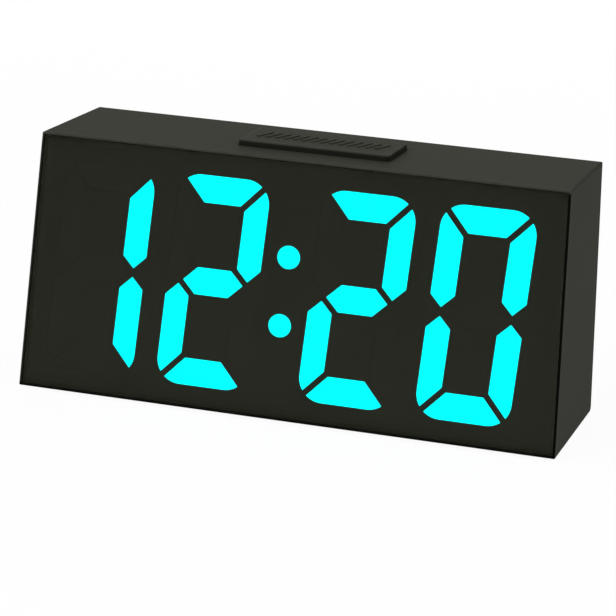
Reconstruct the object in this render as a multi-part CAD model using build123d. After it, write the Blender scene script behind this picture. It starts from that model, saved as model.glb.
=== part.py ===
"""Digital LED desk clock.

A wedge-shaped plastic housing with a smoked lens over the whole of its slanted front, four
slanted seven-segment digits behind the lens and a snooze bar on top. The back holds the set
buttons, an alarm switch, a power socket, sound holes and a battery door.

Frame: millimetres, +X to the right as seen from the front, the front faces -Y and +Z is up.
The origin lies on the table, under the middle of the housing.
"""

import os
from math import atan, cos, hypot, sin, tan

from build123d import *

# Housing
BODY_HEIGHT = 75.0
BOTTOM_WIDTH = 161.0
TOP_WIDTH = 156.0
BOTTOM_DEPTH = 52.2
TOP_DEPTH = 45.5
WALL = 2.4
EDGE_ROUND = 0.4
REAR_BOTTOM_ROUND = 1.6
FRONT_RIM = 0.6
REAR_RIM = 1.8
OVERRUN = 5.0
SEAT_GAP = 0.05
SLIP_GAP = 0.2
QUARTER_TURN = 90

# Feet
FOOT_RADIUS = 4.0
FOOT_PROUD = 1.0
FOOT_RECESS = 0.6
FOOT_INSET = 9.0
FOOT_ROUND = 0.4

# Lens
LENS_THICKNESS = 2.0
LENS_SETBACK = 0.15
LENS_BEVEL = 0.3
LENS_GAP = 0.3

# Digits, measured on the slanted front: across as shares of the housing's narrower end, and
# upwards as shares of the front's length
DIGIT_WIDTH_SHARE = 0.1765
DIGIT_PITCH_SHARE = 0.2223
MIDDLE_PITCH_SHARE = 0.2761
DISPLAY_SHIFT_SHARE = -0.01443
DISPLAY_MIDDLE_SHARE = 0.49308
DIGIT_HEIGHT_SHARE = 0.81675
DIGIT_LEAN_SHARE = 0.055
SEGMENT_GAP = 1.85

# Strokes as shares of a digit's width and height, and the colon as shares of the same
UPRIGHT_STROKE_SHARE = 0.2542
LEVEL_STROKE_SHARE = 0.12846
COLON_DOT_SHARE = 0.2432
COLON_SPACING_SHARE = 0.3236

# Display module
MODULE_GAP = 0.3
REFLECTOR_DEPTH = 7.0
REFLECTOR_FACE = 1.2
REFLECTOR_SKIRT = 1.2
WELL_WALL = 0.9
DIFFUSER_THICKNESS = 1.5
DIFFUSER_GAP = 0.04
LED_LENGTH = 3.5
LED_WIDTH = 2.8
LED_HEIGHT = 0.8
LED_UPRIGHT_SHARE = 0.45
LED_LEVEL_SHARE = 0.34
BOARD_THICKNESS = 1.6
BOARD_MARGIN = 0.4
EAR_LENGTH = 5.4
EAR_WIDTH = 7.0
EAR_THICKNESS = 2.0
EAR_SHARES = (0.2523, 0.757)
COLUMN_SHARES = (0.1262, 0.8832)
POST_RADIUS = 2.2

# Small screws
SCREW_RADIUS = 1.0
SCREW_HEAD_RADIUS = 1.9
SCREW_HEAD_HEIGHT = 1.2
SCREW_LENGTH = 5.5
SCREW_PLAY = 0.15
THREAD_GAP = 0.03

# Back cover
COVER_THICKNESS = 2.0
COVER_SETBACK = 0.6
COVER_LIP_DEPTH = 2.5
COVER_LIP_WALL = 1.2
CORNER_BOSS_RADIUS = 3.6
CORNER_BOSS_INSET = 3.0
CORNER_BOSS_LENGTH = 13.0
CORNER_CUP_DEPTH = 2.0
CORNER_CUP_RADIUS = 4.4
COVER_SCREW_RADIUS = 1.4
COVER_SCREW_LENGTH = 9.0
COVER_HEAD_RADIUS = 2.7
COVER_HEAD_HEIGHT = 1.9
COVER_HEAD_POCKET = 3.1
COVER_HEAD_SINK = 2.6
CROSS_WIDTH = 0.7
CROSS_LENGTH = 2.8
CROSS_DEPTH = 0.9

# Control dish in the back cover, with its height as a share of the housing's
CONTROL_SHARE = 0.74667
DISH_LENGTH_SHARE = 0.58974
DISH_HEIGHT = 14.0
DISH_DEPTH = 1.4
DISH_FLOOR = 1.6
DISH_CORNER = 4.0

# Rear buttons
BUTTON_PITCH_SHARE = 0.08974
BUTTON_ROW_SHARE = 0.05128
BUTTON_RADIUS = 3.5
BUTTON_PROUD = 1.1
BUTTON_DISHING = 0.35
BUTTON_FLANGE_RADIUS = 4.5
BUTTON_FLANGE = 0.8
BUTTON_GAP = 0.1
BUTTON_NAMES = ("brightness", "minute", "hour", "alarm_set", "time_set")

# Push switches
SWITCH_SIDE = 6.0
SWITCH_HEIGHT = 3.5
PLUNGER_RADIUS = 1.75
PLUNGER_GAP = 0.06
PLUNGER_SEAT = 0.6
PLUNGER_TRAVEL = 0.25
TALL_PLUNGER = 3.5
SHORT_PLUNGER = 0.8

# Alarm slide switch
SLIDER_SHARE = -0.24359
SLIDER_TRAVEL = 3.0
SLIDE_BODY_LENGTH = 8.6
SLIDE_BODY_WIDTH = 4.4
SLIDE_BODY_HEIGHT = 4.7
LEVER_LENGTH = 1.8
LEVER_WIDTH = 1.6
LEVER_HEIGHT = 2.5
LEVER_SINK = 1.0
KNOB_LENGTH = 6.0
KNOB_WIDTH = 5.0
KNOB_HEIGHT = 1.1
KNOB_NECK_LENGTH = 3.4
KNOB_NECK_WIDTH = 3.0
KNOB_RIDGES = 3
KNOB_RIDGE_WIDTH = 0.5
KNOB_RIDGE_DEPTH = 0.4

# Power socket
INLET_SHARE = 0.35256
INLET_SIDE = 9.0
INLET_NOSE_RADIUS = 4.0
INLET_BORE_RADIUS = 2.85
INLET_BORE_DEPTH = 8.4
INLET_PIN_RADIUS = 1.0
INLET_PIN_LENGTH = 7.6
INLET_SHOULDER = 1.2

# Sounder and its holes
SOUNDER_SHARE = -0.35897
SOUNDER_RADIUS = 6.0
SOUNDER_HEIGHT = 6.4
SOUNDER_PORT_RADIUS = 1.0
SOUND_HOLE_RADIUS = 0.6
SOUND_HOLE_PITCH = 2.4
SOUND_RINGS = 2
FIRST_RING_HOLES = 6

# Main board, with the places along it as shares of the housing's narrower end
MAIN_BOARD_SHARE = 0.85897
MAIN_BOARD_HEIGHT = 26.0
MAIN_POST_RADIUS = 2.6
MAIN_POST_SHARE = 0.40385
MAIN_POST_SPACING = 18.0
CHIP_LENGTH = 18.0
CHIP_WIDTH = 7.5
CHIP_HEIGHT = 2.3
CHIP_SHARE = 0.01282
CHIP_LEG_PITCH = 1.27
CHIP_LEG_WIDTH = 0.45
CHIP_LEG_REACH = 1.4
CHIP_LEG_THICKNESS = 0.3
CHIP_LEG_COUNT = 14
CRYSTAL_RADIUS = 1.0
CRYSTAL_LENGTH = 6.0
CRYSTAL_SHARE = 0.16026
TRANSISTOR_LENGTH = 2.9
TRANSISTOR_WIDTH = 1.3
TRANSISTOR_HEIGHT = 1.0
TRANSISTOR_COUNT = 7
TRANSISTOR_PITCH_SHARE = 0.03205
TRANSISTOR_SHARE = -0.07692
TRANSISTOR_DROP = 8.5
CAPACITOR_RADIUS = 2.5
CAPACITOR_LENGTH = 6.0
CAPACITOR_DROP = 9.5
CAPACITOR_PITCH = 7.0
CAPACITOR_SHARE = 0.26282

# Plugs and flat cable between the two boards
HEADER_LENGTH = 12.0
HEADER_WIDTH = 4.0
HEADER_HEIGHT = 5.0
RIBBON_SHARE = -0.20513
RIBBON_LOW_SHARE = 0.5312
RIBBON_DROP = 4.0
RIBBON_WIDTH = 10.0
RIBBON_THICKNESS = 0.8
RIBBON_RUN = 5.0
RIBBON_BEND = 2.2

# Battery compartment for two AAA cells side by side
CELL_LENGTH = 44.5
CELL_DIAMETER = 10.5
CELL_PLAY = 0.7
CONTACT_ROOM = 3.4
BATTERY_SHARE = -0.12821
BATTERY_HEIGHT = 19.0
BATTERY_WALL = 1.4
BATTERY_FRAME = 1.2
DOOR_THICKNESS = 1.6
DOOR_LAP = 2.0
DOOR_CORNER = 1.0
DOOR_TAB_WIDTH = 6.0
DOOR_TAB_DROP = 2.0
DOOR_TAB_THICKNESS = 1.2
DOOR_TAB_OFFSET = 0.6
DOOR_TAB_ROOT = 1.2
DOOR_TAB_SHARE = 0.3
DOOR_TAB_SWING = 4.6
TONGUE_WIDTH = 12.0
TONGUE_LENGTH = 7.0
TONGUE_SLOT = 0.8
THUMB_RADIUS = 7.0
THUMB_DEPTH = 0.7
PLATE_THICKNESS = 0.4
PLATE_MARGIN = 1.2
TAIL_WIDTH = 2.4
TAIL_LENGTH = 3.2
TAIL_GAP = 0.2
CONTACT_BUMP_RADIUS = 2.2
CONTACT_BUMP_HEIGHT = 0.6
CELL_SPRING_RADIUS = 3.0
CELL_SPRING_WIRE = 0.3
CELL_SPRING_LENGTH = 2.9
CELL_SPRING_TURNS = 2.5
WIRE_SIDES = 6

# Leads
LEAD_RADIUS = 0.6
LEAD_BEND = 1.5
BATTERY_LEAD_JOG = 3.4
BATTERY_LEAD_RISE = 2.0
SNOOZE_LEAD_DROP = 4.5
SNOOZE_LEAD_SHARE = 0.09615
SNOOZE_LEAD_PITCH = 2.5

# Snooze bar: across as shares of the housing's narrower end, and in depth as shares of its top
BAR_LENGTH_SHARE = 0.2891
BAR_WIDTH_SHARE = 0.46593
BAR_SHIFT_SHARE = 0.002
BAR_BACK_SHARE = 0.51429
BAR_PROUD = 1.8
BAR_TRAVEL = 1.0
BAR_GAP = 0.25
BAR_CORNER = 1.4
BAR_EDGE = 0.4
BAR_TOP_WALL = 1.5
BAR_SKIRT = 1.2
BAR_FLANGE = 1.0
BAR_FLANGE_REACH = 1.8
GRIP_COUNT = 14
GRIP_PITCH_SHARE = 0.0605
GRIP_LENGTH = 7.5
GRIP_WIDTH = 0.9
GRIP_HEIGHT = 0.25
GRIP_SLANT = 18.0
SNOOZE_POST_SHARE = 0.17949
SNOOZE_POST_RADIUS = 2.7
SNOOZE_POST_LENGTH = 7.6
SNOOZE_BOARD_SHARE = 0.40385
SNOOZE_BOARD_WIDTH = 10.0
SNOOZE_BOARD_SETBACK = 2.1
PRESS_POST_RADIUS = 2.4
SPRING_SHARE = 0.08974
SPRING_RADIUS = 2.4
SPRING_WIRE = 0.25
SPRING_TURNS = 5.0
SPRING_PEG_RADIUS = 1.7
SPRING_PEG_SHARE = 0.55

# Worked out from the sizes above
SLANT = atan((BOTTOM_DEPTH - TOP_DEPTH) / BODY_HEIGHT)
DRAFT = atan((BOTTOM_WIDTH - TOP_WIDTH) / 2 / BODY_HEIGHT)
FACE_LENGTH = hypot(BODY_HEIGHT, BOTTOM_DEPTH - TOP_DEPTH)
NARROW_WIDTH = min(BOTTOM_WIDTH, TOP_WIDTH)
FRONT_Y = -BOTTOM_DEPTH / 2
BACK_Y = BOTTOM_DEPTH / 2
FLOOR_Z = FOOT_PROUD
ROOF_Z = FOOT_PROUD + BODY_HEIGHT
CEILING_Z = ROOF_Z - WALL
LENS_BACK = LENS_SETBACK + LENS_THICKNESS
LEDGE_DEPTH = LENS_BACK + SEAT_GAP
REFLECTOR_BACK = LEDGE_DEPTH + REFLECTOR_DEPTH
MODULE_BACK = REFLECTOR_BACK + BOARD_THICKNESS
EAR_FRONT = MODULE_BACK + SEAT_GAP
EAR_BACK = EAR_FRONT + EAR_THICKNESS
DISPLAY_MIDDLE = FACE_LENGTH * DISPLAY_MIDDLE_SHARE
DISPLAY_SHIFT = NARROW_WIDTH * DISPLAY_SHIFT_SHARE
DIGIT_WIDTH = NARROW_WIDTH * DIGIT_WIDTH_SHARE
DIGIT_HEIGHT = FACE_LENGTH * DIGIT_HEIGHT_SHARE
DIGIT_PITCH = NARROW_WIDTH * DIGIT_PITCH_SHARE
MIDDLE_PITCH = NARROW_WIDTH * MIDDLE_PITCH_SHARE
UPRIGHT_STROKE = DIGIT_WIDTH * UPRIGHT_STROKE_SHARE
LEVEL_STROKE = DIGIT_HEIGHT * LEVEL_STROKE_SHARE
COLON_DIAMETER = DIGIT_WIDTH * COLON_DOT_SHARE
COLON_SPACING = DIGIT_HEIGHT * COLON_SPACING_SHARE
CONTROL_HEIGHT = FLOOR_Z + BODY_HEIGHT * CONTROL_SHARE
COVER_FACE = BACK_Y - COVER_SETBACK
COVER_INNER = COVER_FACE - COVER_THICKNESS
DISH_FACE = COVER_FACE - DISH_DEPTH
DISH_INNER = DISH_FACE - DISH_FLOOR
BUTTON_FLANGE_FACE = DISH_INNER - BUTTON_GAP
PLUNGER_TIP = BUTTON_FLANGE_FACE - BUTTON_FLANGE
MAIN_FACE = PLUNGER_TIP - TALL_PLUNGER - SWITCH_HEIGHT
MAIN_INNER = MAIN_FACE - BOARD_THICKNESS
DOOR_INNER = COVER_FACE - DOOR_THICKNESS
DISH_LENGTH = NARROW_WIDTH * DISH_LENGTH_SHARE
SLIDER_X = NARROW_WIDTH * SLIDER_SHARE
INLET_X = NARROW_WIDTH * INLET_SHARE
SOUNDER_X = NARROW_WIDTH * SOUNDER_SHARE
BATTERY_X = NARROW_WIDTH * BATTERY_SHARE
RIBBON_X = NARROW_WIDTH * RIBBON_SHARE
RIBBON_LOW = FACE_LENGTH * RIBBON_LOW_SHARE
RIBBON_HIGH = CONTROL_HEIGHT - RIBBON_DROP
POCKET_LENGTH = CELL_LENGTH + 2 * CONTACT_ROOM
POCKET_HEIGHT = 2 * (CELL_DIAMETER + CELL_PLAY)
POCKET_FLOOR = DOOR_INNER - SEAT_GAP - CELL_DIAMETER - CELL_PLAY
DOOR_LENGTH = POCKET_LENGTH + 2 * DOOR_LAP
DOOR_HEIGHT = POCKET_HEIGHT + 2 * DOOR_LAP
DOOR_BOTTOM = BATTERY_HEIGHT - DOOR_HEIGHT / 2
BAR_LENGTH = NARROW_WIDTH * BAR_LENGTH_SHARE
BAR_WIDTH = TOP_DEPTH * BAR_WIDTH_SHARE
BAR_X = NARROW_WIDTH * BAR_SHIFT_SHARE
BAR_Y = BACK_Y - TOP_DEPTH * BAR_BACK_SHARE
SNOOZE_BOARD_Y = BAR_Y + SNOOZE_BOARD_SETBACK
BAR_TOP = ROOF_Z + BAR_PROUD
BAR_UNDERSIDE = BAR_TOP - BAR_TOP_WALL
FLANGE_TOP = CEILING_Z - SEAT_GAP
FLANGE_BOTTOM = FLANGE_TOP - BAR_FLANGE
SNOOZE_BOARD_TOP = CEILING_Z - SNOOZE_POST_LENGTH
SNOOZE_BOARD_BOTTOM = SNOOZE_BOARD_TOP - BOARD_THICKNESS
SNOOZE_PLUNGER_TOP = SNOOZE_BOARD_TOP + SWITCH_HEIGHT + SHORT_PLUNGER
SNOOZE_REST_GAP = BAR_TRAVEL - PLUNGER_TRAVEL

FRONT = Plane(
    origin=(0, FRONT_Y, FLOOR_Z), x_dir=(1, 0, 0), z_dir=(0, -cos(SLANT), sin(SLANT))
)
DIGIT_CENTRES = {
    "hour_tens": DISPLAY_SHIFT - MIDDLE_PITCH / 2 - DIGIT_PITCH,
    "hour_units": DISPLAY_SHIFT - MIDDLE_PITCH / 2,
    "minute_tens": DISPLAY_SHIFT + MIDDLE_PITCH / 2,
    "minute_units": DISPLAY_SHIFT + MIDDLE_PITCH / 2 + DIGIT_PITCH,
}
SHOWN_SEGMENTS = {
    "hour_tens": "bc",
    "hour_units": "abged",
    "minute_tens": "abged",
    "minute_units": "abcdef",
}
ALL_SEGMENTS = "abcdefg"


# The housing's form

def side_x(height, inset=0):
    """Half the housing's width at a height above the table, drawn in by inset."""
    return BOTTOM_WIDTH / 2 - (height - FLOOR_Z) * tan(DRAFT) - inset / cos(DRAFT)


def front_y(height, depth=0):
    """Where the plane that lies depth behind the front stands at a height above the table."""
    return FRONT_Y + (height - FLOOR_Z) * tan(SLANT) + depth / cos(SLANT)


def upright_outline(inset=0):
    """The housing seen from behind, drawn in by inset, in X and Z."""
    low = FLOOR_Z + inset
    high = ROOF_Z - inset
    return Polygon(
        (-side_x(low, inset), low),
        (side_x(low, inset), low),
        (side_x(high, inset), high),
        (-side_x(high, inset), high),
        align=None,
    )


def side_outline(inset=0, front=0, back=0):
    """The housing seen from the side, drawn in by inset and by front and back, in Y and Z."""
    low = FLOOR_Z + inset
    high = ROOF_Z - inset
    return Polygon(
        (front_y(low, front), low),
        (BACK_Y - back, low),
        (BACK_Y - back, high),
        (front_y(high, front), high),
        align=None,
    )


def slab(sketch, near, far):
    """A sketch in X and Z, extruded between two places on the Y axis."""
    return extrude(Plane.XZ.offset(-far) * sketch, amount=far - near, dir=Plane.XZ.z_dir)


def deck(sketch, low, high):
    """A sketch in X and Y, extruded between two heights."""
    return extrude(Plane.XY.offset(low) * sketch, amount=high - low, dir=Plane.XY.z_dir)


def panel(sketch, near, far):
    """A sketch on the slanted front, extruded between two depths behind it."""
    return extrude(FRONT.offset(-far) * sketch, amount=far - near, dir=FRONT.z_dir)


def housing_wedge(profile, inset=0):
    """The wedge that has this side profile and the drafted sides."""
    across = extrude(Plane.YZ * profile, amount=BOTTOM_WIDTH, both=True)
    along = extrude(Plane.XZ * upright_outline(inset), amount=BOTTOM_DEPTH, both=True)
    return across & along


def rounded_profile():
    """The side profile with small edges and the larger round at the bottom of the back."""
    profile = side_outline()
    rounds = (
        ((front_y(FLOOR_Z), FLOOR_Z), EDGE_ROUND),
        ((front_y(ROOF_Z), ROOF_Z), EDGE_ROUND),
        ((BACK_Y, ROOF_Z), EDGE_ROUND),
        ((BACK_Y, FLOOR_Z), REAR_BOTTOM_ROUND),
    )
    for corner, radius in rounds:
        profile = fillet(profile.vertices().sort_by_distance(corner)[0], radius)
    return profile


def face_half(along, inset=0, depth=0):
    """Half the housing's width on the slanted front, at a length up it and a depth behind it."""
    height = FLOOR_Z + along * cos(SLANT) - depth * sin(SLANT)
    return side_x(height, inset)


def face_outline(low, high, inset, depth=0):
    """A trapezoid on the slanted front that follows the housing's sides."""
    return Polygon(
        (-face_half(low, inset, depth), low),
        (face_half(low, inset, depth), low),
        (face_half(high, inset, depth), high),
        (-face_half(high, inset, depth), high),
        align=None,
    )


def rim_outline(inset):
    """The front face drawn in by inset all round."""
    return face_outline(inset, FACE_LENGTH - inset, inset)


def module_outline(inset):
    """The display module's outline: it enters from the front and clears the walls by inset."""
    low = (WALL + inset + MODULE_BACK * sin(SLANT)) / cos(SLANT)
    high = (BODY_HEIGHT - WALL - inset + LEDGE_DEPTH * sin(SLANT)) / cos(SLANT)
    return face_outline(low, high, WALL + inset, LEDGE_DEPTH)


# Places that several pieces share

def corner_places():
    """Where the back cover's screws stand, in X and Z."""
    places = []
    for height in (
        FLOOR_Z + WALL + CORNER_BOSS_INSET,
        CEILING_Z - CORNER_BOSS_INSET,
    ):
        across = side_x(height, WALL) - CORNER_BOSS_INSET
        places += [(-across, height), (across, height)]
    return places


def ear_places():
    """The display screws at the side walls, on the slanted front."""
    places = []
    for share in EAR_SHARES:
        along = FACE_LENGTH * share
        across = face_half(along, WALL + MODULE_GAP + POST_RADIUS, LEDGE_DEPTH)
        places += [(-across, along), (across, along)]
    return places


def column_places():
    """The display screws above and below the colon."""
    heights = [FACE_LENGTH * share for share in COLUMN_SHARES]
    return [(colon_x(along), along) for along in heights]


def colon_x(along):
    """The leaning line of the colon, at a length up the front."""
    return DISPLAY_SHIFT + (along - DISPLAY_MIDDLE) * DIGIT_LEAN_SHARE


def main_post_places():
    """The main board's four screws, in X and Z."""
    reach = NARROW_WIDTH * MAIN_POST_SHARE
    return [
        (across, CONTROL_HEIGHT + rise)
        for across in (-reach, reach)
        for rise in (-MAIN_POST_SPACING / 2, MAIN_POST_SPACING / 2)
    ]


def button_places():
    """The X of each rear button, by name."""
    pitch = NARROW_WIDTH * BUTTON_PITCH_SHARE
    first = NARROW_WIDTH * BUTTON_ROW_SHARE - pitch * (len(BUTTON_NAMES) - 1) / 2
    return {name: first + pitch * turn for turn, name in enumerate(BUTTON_NAMES)}


def foot_places():
    """The four feet, in X and Y."""
    across = BOTTOM_WIDTH / 2 - FOOT_INSET
    return [
        (side * across, along)
        for side in (-1, 1)
        for along in (FRONT_Y + FOOT_INSET, BACK_Y - FOOT_INSET)
    ]


def at(places, shape):
    """Copies of a shape at places in its sketch plane."""
    return Sketch() + [Pos(across, along) * shape for across, along in places]


# Housing pieces

def main_shell():
    body = housing_wedge(rounded_profile())
    sides = body.faces().sort_by(Axis.X)
    body = fillet(sides[0].edges() + sides[-1].edges(), EDGE_ROUND)
    body -= housing_wedge(side_outline(WALL, -OVERRUN, -OVERRUN), WALL)
    body -= panel(rim_outline(FRONT_RIM), -OVERRUN, LEDGE_DEPTH)
    body -= slab(upright_outline(REAR_RIM), COVER_INNER, BACK_Y + OVERRUN)
    boss_back = COVER_INNER - CORNER_CUP_DEPTH - SEAT_GAP
    boss_front = boss_back - CORNER_BOSS_LENGTH
    body += slab(at(corner_places(), Circle(CORNER_BOSS_RADIUS)), boss_front, boss_back)
    pilot = at(corner_places(), Circle(COVER_SCREW_RADIUS + THREAD_GAP))
    body -= slab(pilot, boss_front, boss_back)
    body += display_ears()
    body += snooze_posts()
    body -= snooze_opening()
    recess = at(foot_places(), Circle(FOOT_RADIUS + SEAT_GAP))
    body -= deck(recess, FLOOR_Z - OVERRUN, FLOOR_Z + FOOT_RECESS)
    return body


def display_ears():
    """Four ears on the side walls: the display module is screwed to them from behind."""
    ears = Sketch()
    for across, along in ear_places():
        reach = EAR_LENGTH + WALL / 2
        middle = abs(across) + POST_RADIUS + MODULE_GAP + WALL / 2 - reach / 2
        side = 1 if across > 0 else -1
        ears += Pos(side * middle, along) * Rectangle(reach, EAR_WIDTH)
    ears -= at(ear_places(), Circle(SCREW_RADIUS + SCREW_PLAY))
    return panel(ears, EAR_FRONT, EAR_BACK)


def snooze_post_places():
    """The snooze board's two screws, in X and Y."""
    reach = NARROW_WIDTH * SNOOZE_POST_SHARE
    return [(BAR_X - reach, SNOOZE_BOARD_Y), (BAR_X + reach, SNOOZE_BOARD_Y)]


def snooze_posts():
    """Two posts under the top wall that carry the snooze board."""
    ring = Circle(SNOOZE_POST_RADIUS) - Circle(SCREW_RADIUS + THREAD_GAP)
    return deck(at(snooze_post_places(), ring), SNOOZE_BOARD_TOP + SEAT_GAP, CEILING_Z)


def bar_outline(grow=0):
    """The snooze bar from above, grown by a clearance."""
    outline = RectangleRounded(BAR_LENGTH + 2 * grow, BAR_WIDTH + 2 * grow, BAR_CORNER + grow)
    return Pos(BAR_X, BAR_Y) * outline


def snooze_opening():
    return deck(bar_outline(BAR_GAP), CEILING_Z - SEAT_GAP, ROOF_Z + OVERRUN)


def front_lens():
    lens = panel(rim_outline(FRONT_RIM + LENS_GAP), LENS_SETBACK, LENS_BACK)
    front = lens.faces().sort_by(Axis(FRONT.origin, FRONT.z_dir))[-1]
    return chamfer(front.edges(), LENS_BEVEL)


def feet():
    pads = deck(at(foot_places(), Circle(FOOT_RADIUS)), 0, FLOOR_Z + FOOT_RECESS - SEAT_GAP)
    rims = pads.edges().filter_by(GeomType.CIRCLE).group_by(Axis.Z)[0]
    return fillet(rims, FOOT_ROUND)


# Display module

def lean(points, centre=0):
    """Points of an upright digit, leaned over about the display's middle line."""
    return [(centre + x + y * DIGIT_LEAN_SHARE, DISPLAY_MIDDLE + y) for x, y in points]


def segment_corners():
    """Each segment of a digit, mitred to its neighbours, before the gaps are taken off."""
    half = (DIGIT_WIDTH + SEGMENT_GAP) / 2
    top = (DIGIT_HEIGHT + SEGMENT_GAP) / 2
    upright = UPRIGHT_STROKE + SEGMENT_GAP
    level = LEVEL_STROKE + SEGMENT_GAP
    tip = half - upright / 2
    a = [(-half, top), (half, top), (half - upright, top - level), (upright - half, top - level)]
    b = [
        (half, top),
        (half - upright, top - level),
        (half - upright, upright / 2),
        (tip, 0),
        (half, upright / 2),
    ]
    shoulder = tip - level / 2
    g = [
        (-tip, 0),
        (-shoulder, level / 2),
        (shoulder, level / 2),
        (tip, 0),
        (shoulder, -level / 2),
        (-shoulder, -level / 2),
    ]
    return {
        "a": a,
        "b": b,
        "c": [(x, -y) for x, y in b],
        "d": [(x, -y) for x, y in a],
        "e": [(-x, -y) for x, y in b],
        "f": [(-x, y) for x, y in b],
        "g": g,
    }


def digit_cell(grow=0):
    """The leaning outline of a whole digit with its round corners."""
    half = DIGIT_WIDTH / 2 + grow
    top = DIGIT_HEIGHT / 2 + grow
    cell = Polygon(*lean([(-half, -top), (half, -top), (half, top), (-half, top)]), align=None)
    return fillet(cell.vertices(), UPRIGHT_STROKE + grow)


def segment_outlines(grow=0):
    """The seven segments of a digit, each grown by a clearance or a wall."""
    cell = digit_cell(grow)
    outlines = {}
    for letter, corners in segment_corners().items():
        mitred = Polygon(*lean(corners), align=None)
        outlines[letter] = offset(mitred, grow - SEGMENT_GAP / 2, kind=Kind.INTERSECTION) & cell
    return outlines


def colon_outline(grow=0):
    places = [
        (colon_x(DISPLAY_MIDDLE + rise), DISPLAY_MIDDLE + rise)
        for rise in (-COLON_SPACING / 2, COLON_SPACING / 2)
    ]
    return at(places, Circle(COLON_DIAMETER / 2 + grow))


def display_outline(grow=0):
    """All the segments and the colon together."""
    outlines = segment_outlines(grow)
    digit = Sketch() + [outlines[letter] for letter in ALL_SEGMENTS]
    every = Sketch() + [Pos(centre, 0) * digit for centre in DIGIT_CENTRES.values()]
    return every + colon_outline(grow)


def display_reflector():
    """A black-faced frame with one light well for each segment, and its screw posts."""
    wells = display_outline(DIFFUSER_GAP)
    outline = module_outline(MODULE_GAP)
    face = panel(outline - wells, LEDGE_DEPTH, LEDGE_DEPTH + REFLECTOR_FACE)
    posts = at(ear_places() + column_places(), Circle(POST_RADIUS))
    walls = display_outline(DIFFUSER_GAP + WELL_WALL) + posts
    skirt = outline - module_outline(MODULE_GAP + REFLECTOR_SKIRT)
    frame = face + panel(walls + skirt - wells, LEDGE_DEPTH, REFLECTOR_BACK)
    bores = at(ear_places() + column_places(), Circle(SCREW_RADIUS + THREAD_GAP))
    return frame - panel(bores, LEDGE_DEPTH + REFLECTOR_FACE, REFLECTOR_BACK)


def diffusers(name, letters):
    """The translucent fillings of these segments of one digit."""
    outlines = segment_outlines()
    shown = Sketch() + [outlines[letter] for letter in letters]
    near = LEDGE_DEPTH + SEAT_GAP
    return panel(Pos(DIGIT_CENTRES[name], 0) * shown, near, near + DIFFUSER_THICKNESS)


def colon_lit():
    near = LEDGE_DEPTH + SEAT_GAP
    return panel(colon_outline(), near, near + DIFFUSER_THICKNESS)


def led_places():
    """Two chips along each segment and one behind each colon dot."""
    upright_x = (DIGIT_WIDTH - UPRIGHT_STROKE) / 2
    level_y = (DIGIT_HEIGHT - LEVEL_STROKE) / 2
    upright_spread = DIGIT_HEIGHT / 2 * LED_UPRIGHT_SHARE / 2
    level_spread = DIGIT_WIDTH * LED_LEVEL_SHARE / 2
    uprights = [
        (x, y + spread)
        for x in (-upright_x, upright_x)
        for y in (-level_y / 2, level_y / 2)
        for spread in (-upright_spread, upright_spread)
    ]
    levels = [
        (spread, y)
        for y in (-level_y, 0, level_y)
        for spread in (-level_spread, level_spread)
    ]
    places = []
    for centre in DIGIT_CENTRES.values():
        places += lean(uprights + levels, centre)
    for rise in (-COLON_SPACING / 2, COLON_SPACING / 2):
        places.append((colon_x(DISPLAY_MIDDLE + rise), DISPLAY_MIDDLE + rise))
    return places


def led_chips():
    chip = Rectangle(LED_WIDTH, LED_LENGTH)
    return panel(at(led_places(), chip), REFLECTOR_BACK - LED_HEIGHT, REFLECTOR_BACK)


def display_board():
    outline = module_outline(MODULE_GAP + BOARD_MARGIN)
    holes = at(ear_places() + column_places(), Circle(SCREW_RADIUS + SCREW_PLAY))
    return panel(outline - holes, REFLECTOR_BACK, MODULE_BACK)


def module_screws(places, seat):
    """Screws driven from behind, with their heads against a seat at this depth."""
    heads = panel(at(places, Circle(SCREW_HEAD_RADIUS)), seat, seat + SCREW_HEAD_HEIGHT)
    return heads + panel(at(places, Circle(SCREW_RADIUS)), seat - SCREW_LENGTH, seat)


def display_screws():
    """Screws at the side ears, and two beside the colon that only hold the board."""
    return module_screws(ear_places(), EAR_BACK) + module_screws(column_places(), MODULE_BACK)


def display_header():
    plug = Pos(RIBBON_X, RIBBON_LOW) * Rectangle(HEADER_LENGTH, HEADER_WIDTH)
    return panel(plug, MODULE_BACK, MODULE_BACK + HEADER_HEIGHT)


def ribbon_header():
    plug = Pos(RIBBON_X, RIBBON_HIGH) * Rectangle(HEADER_LENGTH, HEADER_WIDTH)
    return slab(plug, MAIN_INNER - HEADER_HEIGHT, MAIN_INNER)


def display_ribbon():
    """The flat cable: out of the display's plug, up, and back into the main board's plug."""
    depth = MODULE_BACK + HEADER_HEIGHT
    start_y = FRONT_Y + RIBBON_LOW * sin(SLANT) + depth * cos(SLANT)
    start_z = FLOOR_Z + RIBBON_LOW * cos(SLANT) - depth * sin(SLANT)
    turn_y = start_y + RIBBON_RUN * cos(SLANT)
    route = FilletPolyline(
        (start_y, start_z),
        (turn_y, start_z - RIBBON_RUN * sin(SLANT)),
        (turn_y, RIBBON_HIGH),
        (MAIN_INNER - HEADER_HEIGHT, RIBBON_HIGH),
        radius=RIBBON_BEND,
    )
    strip = trace(route, RIBBON_THICKNESS)
    middle = Plane.YZ.offset(RIBBON_X)
    return extrude(middle * strip, amount=RIBBON_WIDTH / 2, both=True)


# Back cover

def dish_outline(grow=0):
    outline = RectangleRounded(DISH_LENGTH + 2 * grow, DISH_HEIGHT + 2 * grow, DISH_CORNER + grow)
    return Pos(0, CONTROL_HEIGHT) * outline


def pocket_outline(grow=0):
    """The battery compartment from behind."""
    outline = Rectangle(POCKET_LENGTH + 2 * grow, POCKET_HEIGHT + 2 * grow)
    return Pos(BATTERY_X, BATTERY_HEIGHT) * outline


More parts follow.
